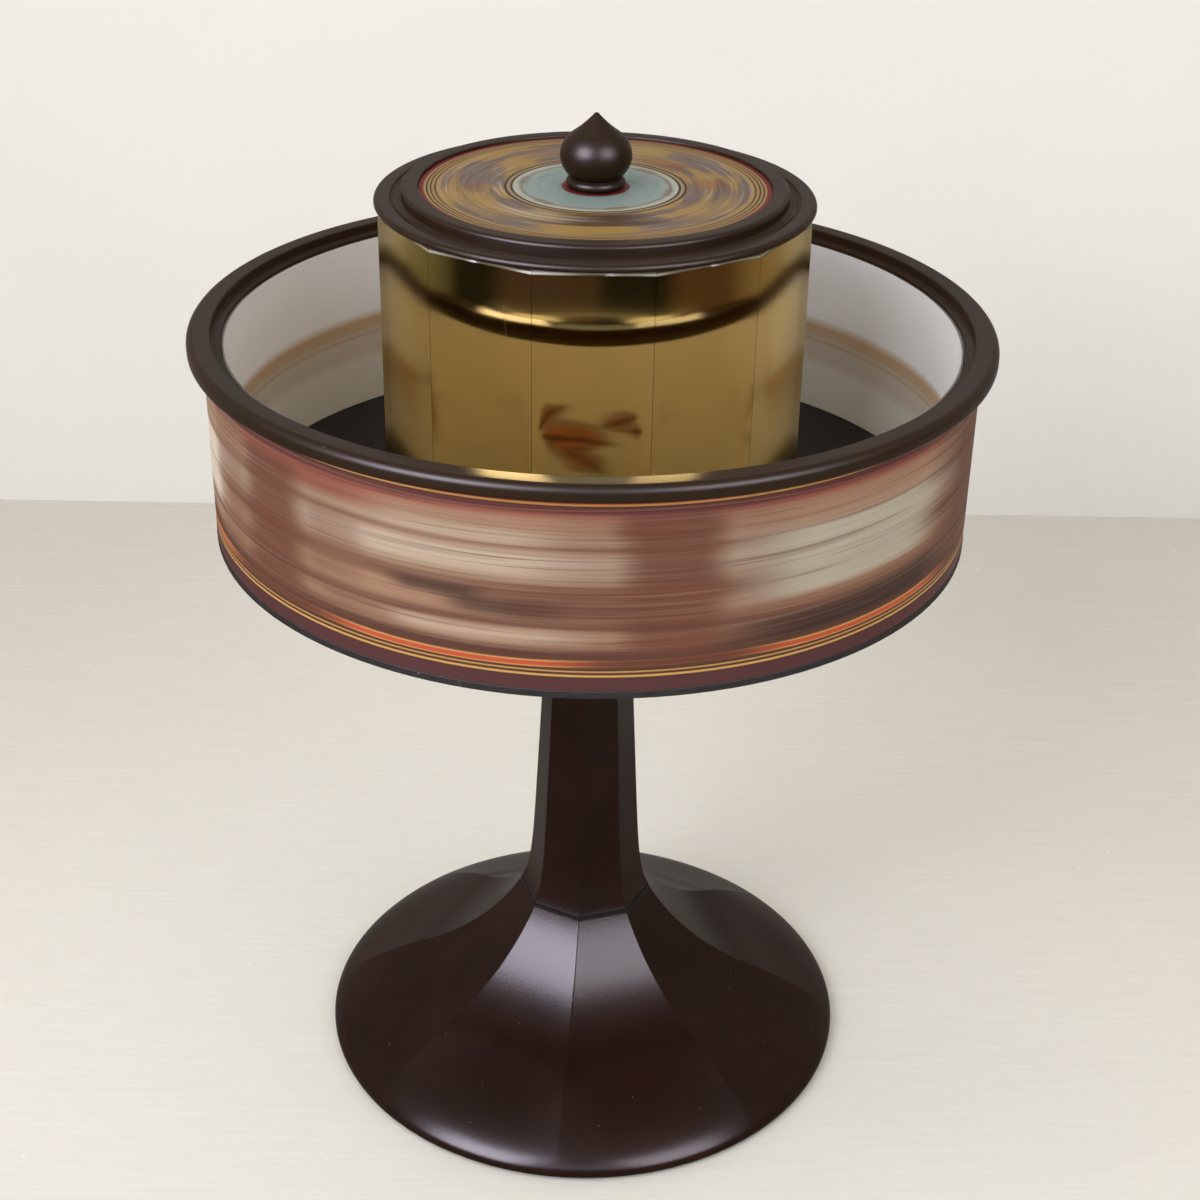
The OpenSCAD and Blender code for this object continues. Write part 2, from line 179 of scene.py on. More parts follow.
class Board:
    """Lays nodes in one tree. What feeds a node is a number, a tuple or a Value."""

    def __init__(self, tree):
        self.tree = tree
        tree.nodes.clear()

    def feed(self, socket, value):
        if isinstance(value, Value):
            self.tree.links.new(value.socket, socket)
        elif socket.type == "RGBA" and len(value) == 3:
            socket.default_value = (*value, 1.0)
        else:
            socket.default_value = value

    def add(self, kind, values=(), out=0, **settings):
        """Adds a node and gives one output as a Value, or the node itself if out is None."""
        node = self.tree.nodes.new(kind)
        place = len(self.tree.nodes) - 1
        node.location = (200 * (place % 10), -260 * (place // 10))
        for name, value in settings.items():
            setattr(node, name, value)
        for key, value in (values.items() if isinstance(values, dict) else enumerate(values)):
            self.feed(node.inputs[key], value)
        return node if out is None else Value(self, node.outputs[out])

    def outputs(self, node):
        return [Value(self, socket) for socket in node.outputs]

    def math(self, operation, *values, clamp=False):
        return self.add("ShaderNodeMath", values, operation=operation, use_clamp=clamp)

    def vector(self, operation, *values):
        out = "Value" if operation in ("LENGTH", "DOT_PRODUCT") else "Vector"
        return self.add("ShaderNodeVectorMath", values, out, operation=operation)

    def split(self, vector):
        return self.outputs(self.add("ShaderNodeSeparateXYZ", (vector,), out=None))

    def join(self, x, y, z):
        return self.add("ShaderNodeCombineXYZ", (x, y, z))

    def wrap(self, angle):
        """An angle brought between minus and plus half a turn."""
        return self.math("ARCTAN2", angle.sin(), angle.cos())

    def step(self, value, start, end, low=0.0, high=1.0):
        """A smooth step from low to high as the value goes from start to end."""
        return self.add("ShaderNodeMapRange", (value, start, end, low, high),
                        interpolation_type="SMOOTHSTEP")

    def mix(self, share, a, b, blend="MIX"):
        return self.add("ShaderNodeMix", {0: share, 6: a, 7: b}, out=2,
                        data_type="RGBA", blend_type=blend)

    def noise(self, vector, scale, detail=2.0, roughness=0.5, distortion=0.0):
        return self.add("ShaderNodeTexNoise", {"Vector": vector, "Scale": scale, "Detail": detail,
                                               "Roughness": roughness, "Distortion": distortion})

    def stretch(self, vector, scale=(1, 1, 1), turn=(0, 0, 0)):
        return self.add("ShaderNodeMapping", (vector, (0, 0, 0), turn, scale))

    def bands(self, value, low, high, stops):
        """A colour for each height between low and high, from (height, colour) pairs."""
        share = self.math("DIVIDE", value - low, high - low, clamp=True)
        node = self.add("ShaderNodeValToRGB", (share,), out=None)
        elements = node.color_ramp.elements
        while len(elements) < len(stops):
            elements.new(0.5)
        for element, (height, colour) in zip(elements, stops):
            element.position = (height - low) / (high - low)
            element.color = (*colour[:3], 1.0)
        return Value(self, node.outputs[0])

    def normal(self):
        return self.add("ShaderNodeNewGeometry", out="Normal")

    def up(self):
        """How far a surface looks up: 1 on a level top, 0 on an upright side."""
        return self.split(self.normal())[2]


# Effects that several finishes share, each a shader node group

def titled(name):
    return name.replace("_", " ").title()


effects = {}


def effect(*outputs, **inputs):
    """Keeps the function below it as an effect. An input without a default is a vector."""
    def keep(lay):
        effects[lay.__name__] = lay, inputs, outputs
        return lay
    return keep


def effect_group(name):
    """The shader node group of an effect, made when it is first used."""
    tree = bpy.data.node_groups.get(name)
    if tree is None:
        lay, inputs, outputs = effects[name]
        tree = bpy.data.node_groups.new(name, "ShaderNodeTree")
        b = Board(tree)
        for label, default in inputs.items():
            kind = "NodeSocketVector" if default is None else "NodeSocketFloat"
            socket = tree.interface.new_socket(titled(label), in_out="INPUT", socket_type=kind)
            if default is not None:
                socket.default_value = default
        for label in outputs:
            tree.interface.new_socket(label, in_out="OUTPUT", socket_type="NodeSocketFloat")
        given = b.outputs(b.add("NodeGroupInput", out=None))
        results = lay(b, *given[:len(inputs)])
        sockets = b.add("NodeGroupOutput", out=None).inputs
        for socket, value in zip(sockets, results if len(outputs) > 1 else (results,)):
            b.feed(socket, value)
    return tree


@effect("Azimuth", "Radius", "Height", place=None, turn=0.0)
def polar_place(b, place, turn):
    """Azimuth from the front, distance from the axis, and height of a point on the piece."""
    x, y, z = b.split(place)
    return b.math("ARCTAN2", x, y * -1.0) - turn, b.math("SQRT", x ** 2.0 + y ** 2.0), z


@effect("Value", azimuth=0.0, across=0.0, around=2.0, fineness=600.0, detail=3.0, seed=0.0)
def spun_streaks(b, azimuth, across, around, fineness, detail, seed):
    """Noise that is long round the axis and fine across it, as print looks while it spins."""
    place = b.join(azimuth.cos() * around, azimuth.sin() * around,
                   b.math("MULTIPLY_ADD", across, fineness, seed))
    return b.noise(place, 1.0, detail, 0.55)


@effect("Mask", azimuth=0.0, across=0.0, centre=0.0, half_width=0.2, fade=0.1, low=0.0,
        high=1.0, edge=0.0005)
def soft_patch(b, azimuth, across, centre, half_width, fade, low, high, edge):
    """A soft-edged patch of print: so far each way of an azimuth, and between two heights."""
    away = b.math("ARCCOSINE", (azimuth - centre).cos() * 0.99999)
    near = b.step(away, half_width + fade, half_width)
    return near * b.step(across, low - edge, low + edge) * b.step(across, high + edge, high - edge)


@effect("Height", place=None, grain=900.0, waves=60.0, wave_share=0.3)
def fine_relief(b, place, grain, waves, wave_share):
    """Fine unevenness of a moulded or papered surface, for a Bump node's height."""
    return b.add("ShaderNodeMix", {0: wave_share, 2: b.noise(place, grain, 2.0),
                                   3: b.noise(place, waves, 1.0)})


@effect("Mask", place=None, scale=400.0, size=0.12, share=0.3)
def specks(b, place, scale, size, share):
    """Scattered tiny specks, such as dust, pores or fibres."""
    cells = b.add("ShaderNodeTexVoronoi", {"Vector": place, "Scale": scale}, out=None).outputs
    dot = b.step(Value(b, cells["Distance"]), size, size * 0.6)
    red = b.add("ShaderNodeSeparateColor", (Value(b, cells["Color"]),))
    return dot * b.math("LESS_THAN", red, share)


@effect("Mask", place=None, scale=20.0, width=0.002, share=0.5)
def hairlines(b, place, scale, width, share):
    """Long thin wandering lines, such as scratches in a polish."""
    line = b.step(abs(b.noise(place, scale, 0.0) - 0.5), width, 0.0)
    gate = b.noise(place, scale * 1.7, 1.0)
    return line * b.step(gate, 1.0 - share, 1.05 - share)


# Finishes

class Finish(Board):
    """The board of one material, with Object coordinates and a Principled shader, whose
    constants are given by name with _ for each space."""

    def __init__(self, name, **constants):
        self.material = bpy.data.materials.new(name)
        self.material.use_nodes = True
        super().__init__(self.material.node_tree)
        self.output = self.add("ShaderNodeOutputMaterial", out=None)
        self.shader = self.add("ShaderNodeBsdfPrincipled", out=None)
        self.feed(self.output.inputs["Surface"], Value(self, self.shader.outputs[0]))
        self.place = self.add("ShaderNodeTexCoord", out="Object")
        for label, value in constants.items():
            self.set(label.replace("_", " "), value)

    def set(self, label, value):
        self.feed(self.shader.inputs[label], value)

    def bump(self, height, distance):
        self.set("Normal", self.add("ShaderNodeBump", {
            "Height": height, "Distance": distance, "Strength": 1.0}))

    def use(self, effect, **values):
        """Places a shared effect, with its inputs given by name, and gives its outputs."""
        node = self.add("ShaderNodeGroup", out=None, node_tree=effect_group(effect))
        if "Place" in node.inputs:
            values["place"] = self.place
        for name, value in values.items():
            self.feed(node.inputs[titled(name)], value)
        given = self.outputs(node)
        return given if len(given) > 1 else given[0]

    def streaks(self, azimuth, across, around, fineness, detail, seed):
        return self.use("spun_streaks", azimuth=azimuth, across=across, around=around,
                        fineness=fineness, detail=detail, seed=seed)

    def polar(self):
        """Azimuth from the camera's side, radius and height."""
        return self.use("polar_place", turn=CAMERA_TURN)

    def sideways(self):
        """The place on the piece without its height."""
        return self.vector("MULTIPLY", self.place, (1.0, 1.0, 0.0))

    def relief(self, grain, waves, share, distance):
        self.bump(self.use("fine_relief", grain=grain, waves=waves, wave_share=share), distance)


def moulding_finish(name, colour, warm, grain, depth, gloss, matt, flats=0.0, joint=None):
    """Dark brown moulded plastic with an even fine grain of some depth. Its roughness is
    gloss on the sides and matt on level flats, which have a coat of this weight. At a
    joint's height, in metres, a line of painted shade stands for the shadow in the gap."""
    b = Finish(name, IOR=1.22, Specular_IOR_Level=0.35, Coat_Roughness=0.17)
    tone = b.mix(b.step(b.noise(b.place, 35.0, 3.0, 0.6), 0.35, 0.7), colour, warm)
    up = b.up()
    dust = b.use("specks", scale=420.0, size=0.1, share=0.05)
    tone = b.mix(dust * b.step(up, 0.3, 0.9) * 0.25, tone, printed(190, 180, 165))
    rough = b.step(up, 0.95, 0.99, gloss, matt)
    b.set("Coat Weight", b.step(up, 0.97, 0.995, 0.0, flats))
    if joint is not None:
        # Painted shade: a near-black, matt line at the joint for the shadow in the gap between
        # foot and column
        gap_shade = b.step(abs(b.split(b.place)[2] - joint), 0.55 * MM, 0.40 * MM)
        tone = b.mix(gap_shade, tone, (0.002, 0.0015, 0.001))
        rough = rough.larger(gap_shade)
    b.set("Base Color", tone)
    b.set("Roughness", rough)
    b.relief(grain, 45.0, 0.06, depth)
    return b.material


def mirror_finish(settings):
    """Gold-tinted mirror as it looks while it spins: towards its upright edges each flat
    bends its reflection into the next one's, and it smears a little from side to side."""
    b = Finish("gold_mirror", Metallic=1.0, Anisotropic=1.0)
    b.set("Tangent", b.add("ShaderNodeTangent", direction_type="RADIAL", axis="Z"))
    scratch = b.use("hairlines", scale=26.0, width=0.0012, share=0.3)
    smear = b.step(b.noise(b.stretch(b.place, (30, 30, 9)), 1.0, 3.0), 0.35, 0.75)
    tint = b.mix(smear * 0.5, settings.tint, shade(settings.tint, 0.93))
    tint = b.mix(scratch * 0.3, tint, (0.85, 0.74, 0.45))
    haze = b.step(smear, 0.0, 1.0, 0.9 * settings.haze, 1.1 * settings.haze)
    height = b.split(b.place)[2]
    side = b.step(abs(b.wrap(b.polar()[0])), radians(36), radians(50))
    flat = b.normal()
    up = b.split(flat)[2]
    bevel = b.step(up, 0.2, 0.5)
    b.set("Roughness", haze + side * 0.09 + scratch * 0.2 + bevel * 0.25)
    b.set("Metallic", 1.0 - bevel)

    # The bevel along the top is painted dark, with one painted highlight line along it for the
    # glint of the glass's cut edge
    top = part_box("mirror_01")[1].z
    line = b.step(abs(height - (top - 0.9 * MM)), 0.35 * MM, 0.15 * MM)
    cut = b.mix(line, (0.05, 0.036, 0.015), (0.36, 0.30, 0.19))
    # Painted highlight and painted dark on the bevel, in place of its reflection
    b.set("Base Color", b.mix(bevel, tint, cut))

    # The normal's level part turns towards the way straight out from the axis: a little at
    # the seams, and fully under the lid and at the sides, where it also leans by its radius
    outwards = b.add("ShaderNodeVectorTransform", (b.sideways(),), vector_type="NORMAL",
                     convert_from="OBJECT", convert_to="WORLD")
    outwards = b.vector("NORMALIZE", outwards)
    rise = b.join(0.0, 0.0, up)
    level = b.vector("SUBTRACT", flat, rise)
    full = b.step(height, 0.250, 0.262).larger(side)
    lean = 0.0599 - b.vector("LENGTH", b.sideways())
    lean = lean * 8.46 * full * b.step(height, 0.2735, 0.2710)
    rise = b.vector("ADD", rise, b.join(0.0, 0.0, lean))
    share = b.vector("LENGTH", level)
    facing = b.vector("DOT_PRODUCT", b.vector("NORMALIZE", level), outwards)
    seam = b.step(facing, cos(radians(10)), cos(radians(15)), 0.0, 0.6)
    bend = (seam.larger(full) * b.math("GREATER_THAN", facing, 0.9)
            * b.math("GREATER_THAN", share, 0.95))
    bent = b.add("ShaderNodeVectorMath", {0: outwards, "Scale": share}, operation="SCALE")
    turned = b.add("ShaderNodeMix", {0: bend, 4: flat, 5: b.vector("ADD", bent, rise)}, out=1,
                   data_type="VECTOR")
    b.set("Normal", b.vector("NORMALIZE", turned))
    return b.material


def patched(b, field, azimuth, across, reach, fade, edge, rows):
    """Lays soft patches over a print, from (centre and half width in degrees, lowest and
    highest millimetre, strength, colour)."""
    for centre, half, low, high, strength, colour in rows:
        mask = b.use("soft_patch", azimuth=azimuth, across=across, centre=radians(centre),
                     half_width=radians(reach * half), fade=radians(fade * half), low=low,
                     high=high, edge=edge)
        field = b.mix(mask * strength, field, colour)
    return field


def wall_print_finish(c):
    """Printed paper round the drum: six panels between posts, a garland and edge bands, with a
    painted highlight at its left and painted shade at both sides.
    """
    b = Finish("wall_print", Specular_IOR_Level=0.08)
    azimuth, _, height = b.polar()
    height = height / MM
    slow = b.streaks(azimuth, height, 1.4, 0.35, 2.0, 3.0)
    fine = b.streaks(azimuth, height, 1.4, 1.3, 4.0, 11.0)
    ragged = azimuth + (fine - 0.5) * 0.07
    sixth = ((ragged - radians(11.0)) * 6.0).cos()
    post = b.step(sixth, 0.62, 0.97)
    middle = b.step(sixth, 0.6, -0.7)

    # The picture field, from the garland up to the band under the rim
    level = height + (slow - 0.5) * 2.6
    field = b.bands(level, 201, 243, [
        (201.2, c.brown), (203.0, c.brown), (204.6, c.tan), (206.4, c.peach), (208.4, c.peach),
        (209.6, c.rust), (211.2, c.tan), (213.6, c.peach), (216.6, c.peach), (218.4, c.tan),
        (219.9, c.rust), (221.2, c.tan), (223.6, c.sand), (228.6, c.cream), (230.4, c.sand),
        (232.2, c.tan), (233.6, c.sand), (236.4, c.peach), (239.0, c.peach), (241.6, c.rose)])
    field = patched(b, field, ragged, level, 0.3, 0.45, 1.5, (
        (38, 30, 213.6, 232.6, 0.92, c.pale), (40, 24, 233.0, 239.5, 0.5, c.peach),
        (-20, 24, 224.6, 229.8, 0.6, c.cream), (-17, 22, 232.8, 236.6, 0.5, c.cream),
        (-42, 24, 236.0, 242.0, 0.8, c.rose), (10, 12, 235.0, 242.0, 0.9, c.red),
        (-36, 8, 213.0, 231.0, 0.4, c.tan), (-20, 12, 215.4, 219.6, 0.75, c.umber),
        (-11, 14, 212.4, 217.0, 0.75, c.umber), (-2, 20, 212.2, 217.8, 0.85, c.brown),
        (-14, 26, 205.4, 208.8, 0.6, c.cream), (-32, 10, 204.5, 210.5, 0.6, c.tan),
        (40, 44, 209.4, 212.6, 0.75, c.tan), (40, 44, 200.5, 209.2, 0.95, c.umber),
        # Painted highlight: the white patch at -76 degrees. Painted shade: the full-height tan
        # patch at -62 and brown patch at 76 degrees darken both sides of the drum.
        (-76, 20, 211.0, 230.0, 0.9, c.white), (-62, 10, 203.0, 243.0, 0.5, c.tan),
        (76, 32, 200.0, 243.0, 0.8, c.brown), (98, 20, 214.0, 231.0, 0.6, c.cream),
        (108, 12, 209.0, 216.0, 0.8, c.umber), (165, 12, 206.0, 214.0, 0.7, c.umber),
        (158, 20, 219.0, 232.0, 0.6, c.cream), (-142, 20, 216.0, 231.0, 0.6, c.cream),
        (-132, 14, 210.0, 217.0, 0.75, c.umber), (-90, 14, 221.0, 231.0, 0.6, c.cream)))
    lines = b.streaks(azimuth, height, 0.9, 0.62, 3.0, 23.0)
    field = b.mix(b.step(lines, 0.55, 0.68) * 0.5, field, c.rust)
    field = b.mix((1.0 - middle) * 0.35, field, c.rust)

    # Posts, then the streaks of the turning drum over both
    field = b.mix(post * b.step(height, 242.0, 237.0) * 0.92, field, b.mix(slow, c.brown, c.post))
    field = b.mix(b.step(fine, 0.5, 0.75) * 0.35, field, c.umber)
    field = b.mix(b.step(fine, 0.5, 0.25) * 0.15, field, c.cream)

    # The garland sags a little towards the middle of each panel
    garland = b.bands(height + b.step(sixth, 1.0, -1.0) * 0.5, 196, 206, [
        (197.0, c.brown), (198.9, c.brown), (199.2, c.gold), (199.5, c.orange), (200.5, c.orange),
        (200.8, c.gold), (201.3, c.brown), (204.2, c.brown)])
    garland = b.mix(b.step(sixth, -0.4, 0.8) * 0.9, garland, c.brown)
    under = b.mix(b.step(height + slow, 201.6, 203.4), garland, field)

    # Thin lines and plain bands along both edges
    foot = b.bands(height, 191.5, 199.5, [
        (191.9, c.umber), (192.2, c.maroon), (195.6, c.maroon), (195.95, c.umber), (196.3, c.gold),
        (196.65, c.gold), (196.9, c.umber), (197.3, c.brown), (197.75, c.gold), (198.05, c.umber),
        (198.35, c.brown), (198.7, c.brown)])
    top = b.bands(height, 240.0, 246.4, [
        (240.4, c.rust), (241.6, c.maroon), (243.3, c.red), (243.6, c.umber), (243.85, c.gold),
        (244.15, c.gold), (244.35, c.orange), (245.0, c.orange), (245.4, c.umber)])
    whole = b.mix(b.step(height, 198.4, 198.8), foot, under)
    whole = b.mix(b.step(height, 241.0, 242.4), whole, top)
    swag = abs(height - (sixth * 0.4 + 242.4))
    whole = b.mix(b.step(swag, 0.35, 0.05) * 0.3, whole, c.peach)
    b.set("Base Color", whole)
    b.set("Roughness", b.step(fine, 0.2, 0.8, 0.42, 0.55))
    b.relief(1400.0, 120.0, 0.4, 0.03 * MM)
    return b.material


def lid_print_finish(c):
    """Printed disc let into the lid: rings, a garland field and a grey-green middle."""
    b = Finish("lid_print", Specular_IOR_Level=0.1)
    azimuth, radius, _ = b.polar()
    radius = radius / MM
    slow = b.streaks(azimuth, radius, 1.7, 0.2, 2.0, 5.0)
    fine = b.streaks(azimuth, radius, 1.6, 1.3, 4.0, 17.0)
    olive, mauve, rust = printed(144, 114, 62), printed(106, 88, 78), printed(120, 68, 42)
    light, line, edge = printed(150, 118, 78), printed(44, 30, 22), printed(104, 30, 33)
    pale, ochre = printed(170, 164, 148), printed(146, 112, 48)
    sixth = ((azimuth - radians(48.0)) * 6.0).cos()
    field = b.mix(b.step(slow + sixth * 0.05, 0.40, 0.60), mauve, olive)
    field = b.mix(b.step(fine, 0.46, 0.25) * 0.5, field, pale)
    field = b.mix(b.step(fine, 0.52, 0.75) * 0.55, field, c.umber)
    field = patched(b, field, azimuth, radius, 0.5, 1.0, 0.9, (
        (4, 22, 26.0, 36.0, 0.8, c.umber), (0, 18, 37.0, 42.0, 0.8, ochre),
        (-30, 26, 30.6, 31.6, 0.8, pale), (-36, 22, 33.2, 34.0, 0.6, pale),
        (-20, 18, 28.2, 29.0, 0.6, pale), (-4, 16, 36.0, 41.0, 0.6, olive),
        (-96, 14, 30.0, 39.0, 0.5, mauve), (140, 14, 27.0, 33.0, 0.5, rust),
        (96, 8, 27.5, 37.0, 0.5, rust), (-84, 7, 31.0, 36.0, 0.5, rust),
        (60, 18, 35.0, 41.0, 0.5, olive), (-160, 16, 31.0, 40.0, 0.5, mauve),
        (-60, 18, 34.0, 41.0, 0.5, olive)))
    rings = b.bands(radius, 43, 49, [
        (43.1, olive), (43.6, light), (44.1, olive), (44.35, line), (44.55, line), (44.8, light),
        (45.3, olive), (45.55, line), (45.75, line), (46.0, light), (46.4, olive), (46.65, line),
        (46.85, line), (47.1, light), (47.5, olive), (47.75, edge), (48.9, edge)])
    whole = b.mix(b.step(radius, 42.6, 43.6), field, rings)
    inner = b.bands(radius, 8.5, 26.5, [
        (9.2, edge), (9.8, c.teal), (17.5, c.teal), (19.8, printed(134, 142, 134)),
        (20.6, printed(112, 110, 98)), (21.5, printed(152, 152, 140)),
        (22.8, printed(166, 162, 146)), (23.2, line), (23.6, line), (23.9, printed(146, 128, 96)),
        (24.6, printed(134, 112, 80)), (24.85, line), (25.25, line), (25.6, olive)])
    notch = (b.step(((azimuth - radians(17.0)) * 6.0).cos(), 0.2, 0.9)
             * b.step(radius, 18.6, 20.2) * b.step(radius, 22.4, 21.2))
    inner = b.mix(notch * 0.6, inner, printed(116, 96, 78))
    whole = b.mix(b.step(radius, 25.75, 25.45), whole, inner)
    whole = b.mix(b.step(fine, 0.55, 0.75) * 0.25, whole, c.umber)
    b.set("Base Color", whole)
    b.set("Roughness", b.step(fine, 0.2, 0.8, 0.36, 0.5))
    b.relief(1400.0, 120.0, 0.4, 0.03 * MM)
    return b.material


def shaded_cut_edge(b, tone):
    """Paper or card whose upper cut edge is painted greyer than its face: painted shade that keeps
    the edge from showing as a lit line.
    """
    # Painted shade on faces that look up
    return b.mix(b.step(b.up(), 0.5, 0.8), tone, printed(112, 102, 94))


def strip_finish():
    """White card with a tumbling leaf in each of its twelve pictures."""
    b = Finish("strip_card", Roughness=0.62, Specular_IOR_Level=0.25)
    azimuth, _, height = b.polar()
    height = height / MM
    frames = (azimuth + radians(SPRAY_SHIFT)) / radians(30.0)
    index = b.math("ROUND", frames)
    across = (frames - index) * 36.0 + (b.noise(b.place, 160.0, 2.0) - 0.5) * 5.0
    above = (height - 219.5) * 0.8
    sway = (index * radians(60.0)).sin() * radians(24.0)
    leaf, vein = 0.0, 0.0
    for turn, right, rise, half in ((-8, -2.0, -1.0, 4.6), (30, -7.5, 4.6, 3.0),
                                    (-38, 1.0, -6.4, 2.8), (22, 7.5, 3.6, 2.4),
                                    (2, 12.0, 1.5, 1.6)):
        angle = sway + radians(turn)
        cosine, sine = angle.cos(), angle.sin()
        dx, dz = across - right, above - rise
        along = dx * cosine + dz * sine
        beside = abs(dz * cosine - dx * sine)
        inside = half - along ** 2.0 * (0.36 / half) - beside
        leaf = b.step(inside, -1.2, 2.0).larger(leaf)
        line = b.step(abs(along), 2.2 * half, 1.6 * half) * b.step(beside, 1.2, 0.2)
        rim = b.step(inside, -0.9, 0.1) * b.step(inside, 1.3, 0.3)
        vein = line.larger(rim * 0.6).larger(vein)
    mottle = b.step(b.noise(b.place, 260.0, 3.0), 0.3, 0.7)
    leaf_colour = b.mix(mottle, printed(206, 112, 56), printed(140, 76, 44))
    white = b.mix(b.step(b.noise(b.place, 30.0, 2.0), 0.3, 0.7),
                  printed(231, 232, 243), printed(225, 226, 237))

    # The pictures are on the inner face only, and clearest in front and at the sides
    turned = abs(b.wrap(azimuth))
    clear = b.step(turned, radians(24), radians(14)).larger(
        b.step(turned, radians(56), radians(66)))
    inner = b.step(b.vector("DOT_PRODUCT", b.sideways(), b.normal()), 0.0, -0.02)
    clear = b.step(clear, 0.0, 1.0, 0.08, 1.0) * inner
    card = b.mix(leaf * clear * 0.85, white, leaf_colour)
    card = b.mix(vein * clear * 0.7, card, printed(62, 42, 32))

    # At the back of the drum the pictures have run together into streaks
    streak = b.streaks(azimuth, height, 0.7, 0.9, 3.0, 31.0)
    stripe = b.bands(height + (streak - 0.5) * 0.8, 206, 226, [
        (206.5, printed(222, 217, 208)), (210.0, printed(206, 196, 184)),
        (214.8, printed(206, 197, 186)), (215.9, printed(186, 168, 148)),
        (216.6, printed(206, 192, 174)), (218.0, printed(196, 172, 144)),
        (220.6, printed(198, 166, 132)), (222.3, printed(222, 216, 208)),
        (223.5, printed(246, 246, 252))])
    blurred = b.mix(b.step(height, 206.0, 207.5), printed(224, 220, 212), stripe)
    front = b.step(azimuth.cos(), 0.0, 0.25)
    card = b.mix((1.0 - front) * inner, card, blurred)
    seam = b.step(abs((azimuth - radians(171.0)).sin()), 0.0035, 0.0012)
    seam = seam * b.step(azimuth.cos(), -0.7, -0.8)
    card = b.mix(seam * 0.7, card, printed(90, 84, 80))
    b.set("Base Color", shaded_cut_edge(b, card))
    b.relief(1800.0, 200.0, 0.4, 0.03 * MM)
    return b.material


def lining_finish():
    """Plain paper with fibres."""
    b = Finish("wall_lining", Roughness=0.8, Specular_IOR_Level=0.25)
    fibre = b.noise(b.stretch(b.place, (400, 400, 1500)), 1.0, 4.0, 0.6)
    tone = b.mix(b.step(fibre, 0.35, 0.65), printed(206, 201, 201), printed(216, 212, 212))
    b.set("Base Color", shaded_cut_edge(b, tone))
    b.bump(fibre, 0.04 * MM)
    return b.material


def board_finish():
    """Black-stained board, matt, with a little dust and faint rubbed arcs."""
    b = Finish("floor_board", Specular_IOR_Level=0.08)
    grain = b.noise(b.place, 500.0, 4.0, 0.6)
    tone = b.mix(b.step(grain, 0.3, 0.7), printed(40, 36, 33), printed(48, 43, 40))
    dust = b.use("specks", scale=350.0, size=0.13, share=0.1)
    rub = b.use("hairlines", scale=30.0, width=0.003, share=0.4)
    b.set("Base Color", b.mix((dust * 0.35).larger(rub * 0.15), tone, printed(160, 152, 142)))
    b.set("Roughness", b.step(grain, 0.3, 0.7, 0.5, 0.68))
    b.bump(grain, 0.06 * MM)
    return b.material


def wood_finish():
    """Bare beech: short dark flecks along a pale grain."""
    b = Finish("bare_wood", Roughness=0.62)
    grain = b.noise(b.stretch(b.place, (900, 900, 40)), 1.0, 3.0, 0.6, 0.6)
    rings = b.noise(b.stretch(b.place, (70, 70, 6)), 1.0, 2.0, 0.5, 1.2)
    tone = b.mix(b.step(rings, 0.3, 0.7), printed(206, 168, 124), printed(184, 142, 98))
    fleck = b.step(b.noise(b.stretch(b.place, (1600, 1600, 160)), 1.0, 1.0), 0.62, 0.7)
    b.set("Base Color", b.mix(fleck * 0.6, tone, printed(120, 82, 50)))
    b.bump(grain, 0.08 * MM)
    return b.material


def metal_finish(name, light, dark, low, high, turned=True):
    """Bare metal. Turned metal has rings of fine tool marks."""
    b = Finish(name, Metallic=1.0)
    if turned:
        azimuth, radius, height = b.use("polar_place")
        marks = b.streaks(azimuth, radius + height, 0.6, 4000.0, 3.0, 0.0)
    else:
        marks = b.noise(b.place, 700.0, 3.0, 0.6)
    b.set("Base Color", b.mix(marks, dark, light))
    b.set("Roughness", b.step(marks, 0.3, 0.7, low, high))
    b.bump(marks, 0.01 * MM)
    return b.material


def bronze_finish():
    """Sintered bronze with dark pores."""
    b = Finish("bearing_bronze", Metallic=1.0)
    pores = b.use("specks", scale=2600.0, size=0.35, share=0.5)
    grain = b.noise(b.place, 1200.0, 2.0)
    tone = b.mix(grain, (0.50, 0.33, 0.15), (0.62, 0.43, 0.22))
    b.set("Base Color", b.mix(pores * 0.7, tone, (0.10, 0.06, 0.03)))
    b.set("Roughness", b.step(grain, 0.3, 0.7, 0.32, 0.5))
    b.bump(pores, -0.03 * MM)
    return b.material


def felt_finish():
    """Black felt: short fibres that lie every way."""
    b = Finish("foot_felt", Roughness=0.95, Specular_IOR_Level=0.1, Sheen_Weight=0.4,
                  Sheen_Roughness=0.5)
    fibre = b.noise(b.place, 1500.0, 4.0, 0.7, 2.0)
    b.set("Base Color", b.mix(b.step(fibre, 0.3, 0.7), (0.012, 0.012, 0.012),
                                 (0.05, 0.05, 0.05)))
    b.bump(fibre, 0.2 * MM)
    return b.material


def plate_finish():
    """Matt black painted plate."""
    b = Finish("plate_paint", Specular_IOR_Level=0.4)
    grain = b.noise(b.place, 700.0, 3.0)
    b.set("Base Color", b.mix(grain, (0.018, 0.017, 0.016), (0.034, 0.032, 0.030)))
    b.set("Roughness", b.step(grain, 0.3, 0.7, 0.5, 0.65))
    b.bump(grain, 0.04 * MM)
    return b.material


def dress(material, *nodes):
    """Gives a CAD node's object this material in its slots."""
    for name in nodes:
        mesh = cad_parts[name].data
        if not mesh.materials:
            mesh.materials.append(material)
        for slot in range(len(mesh.materials)):
            mesh.materials[slot] = material


# The swept mouldings

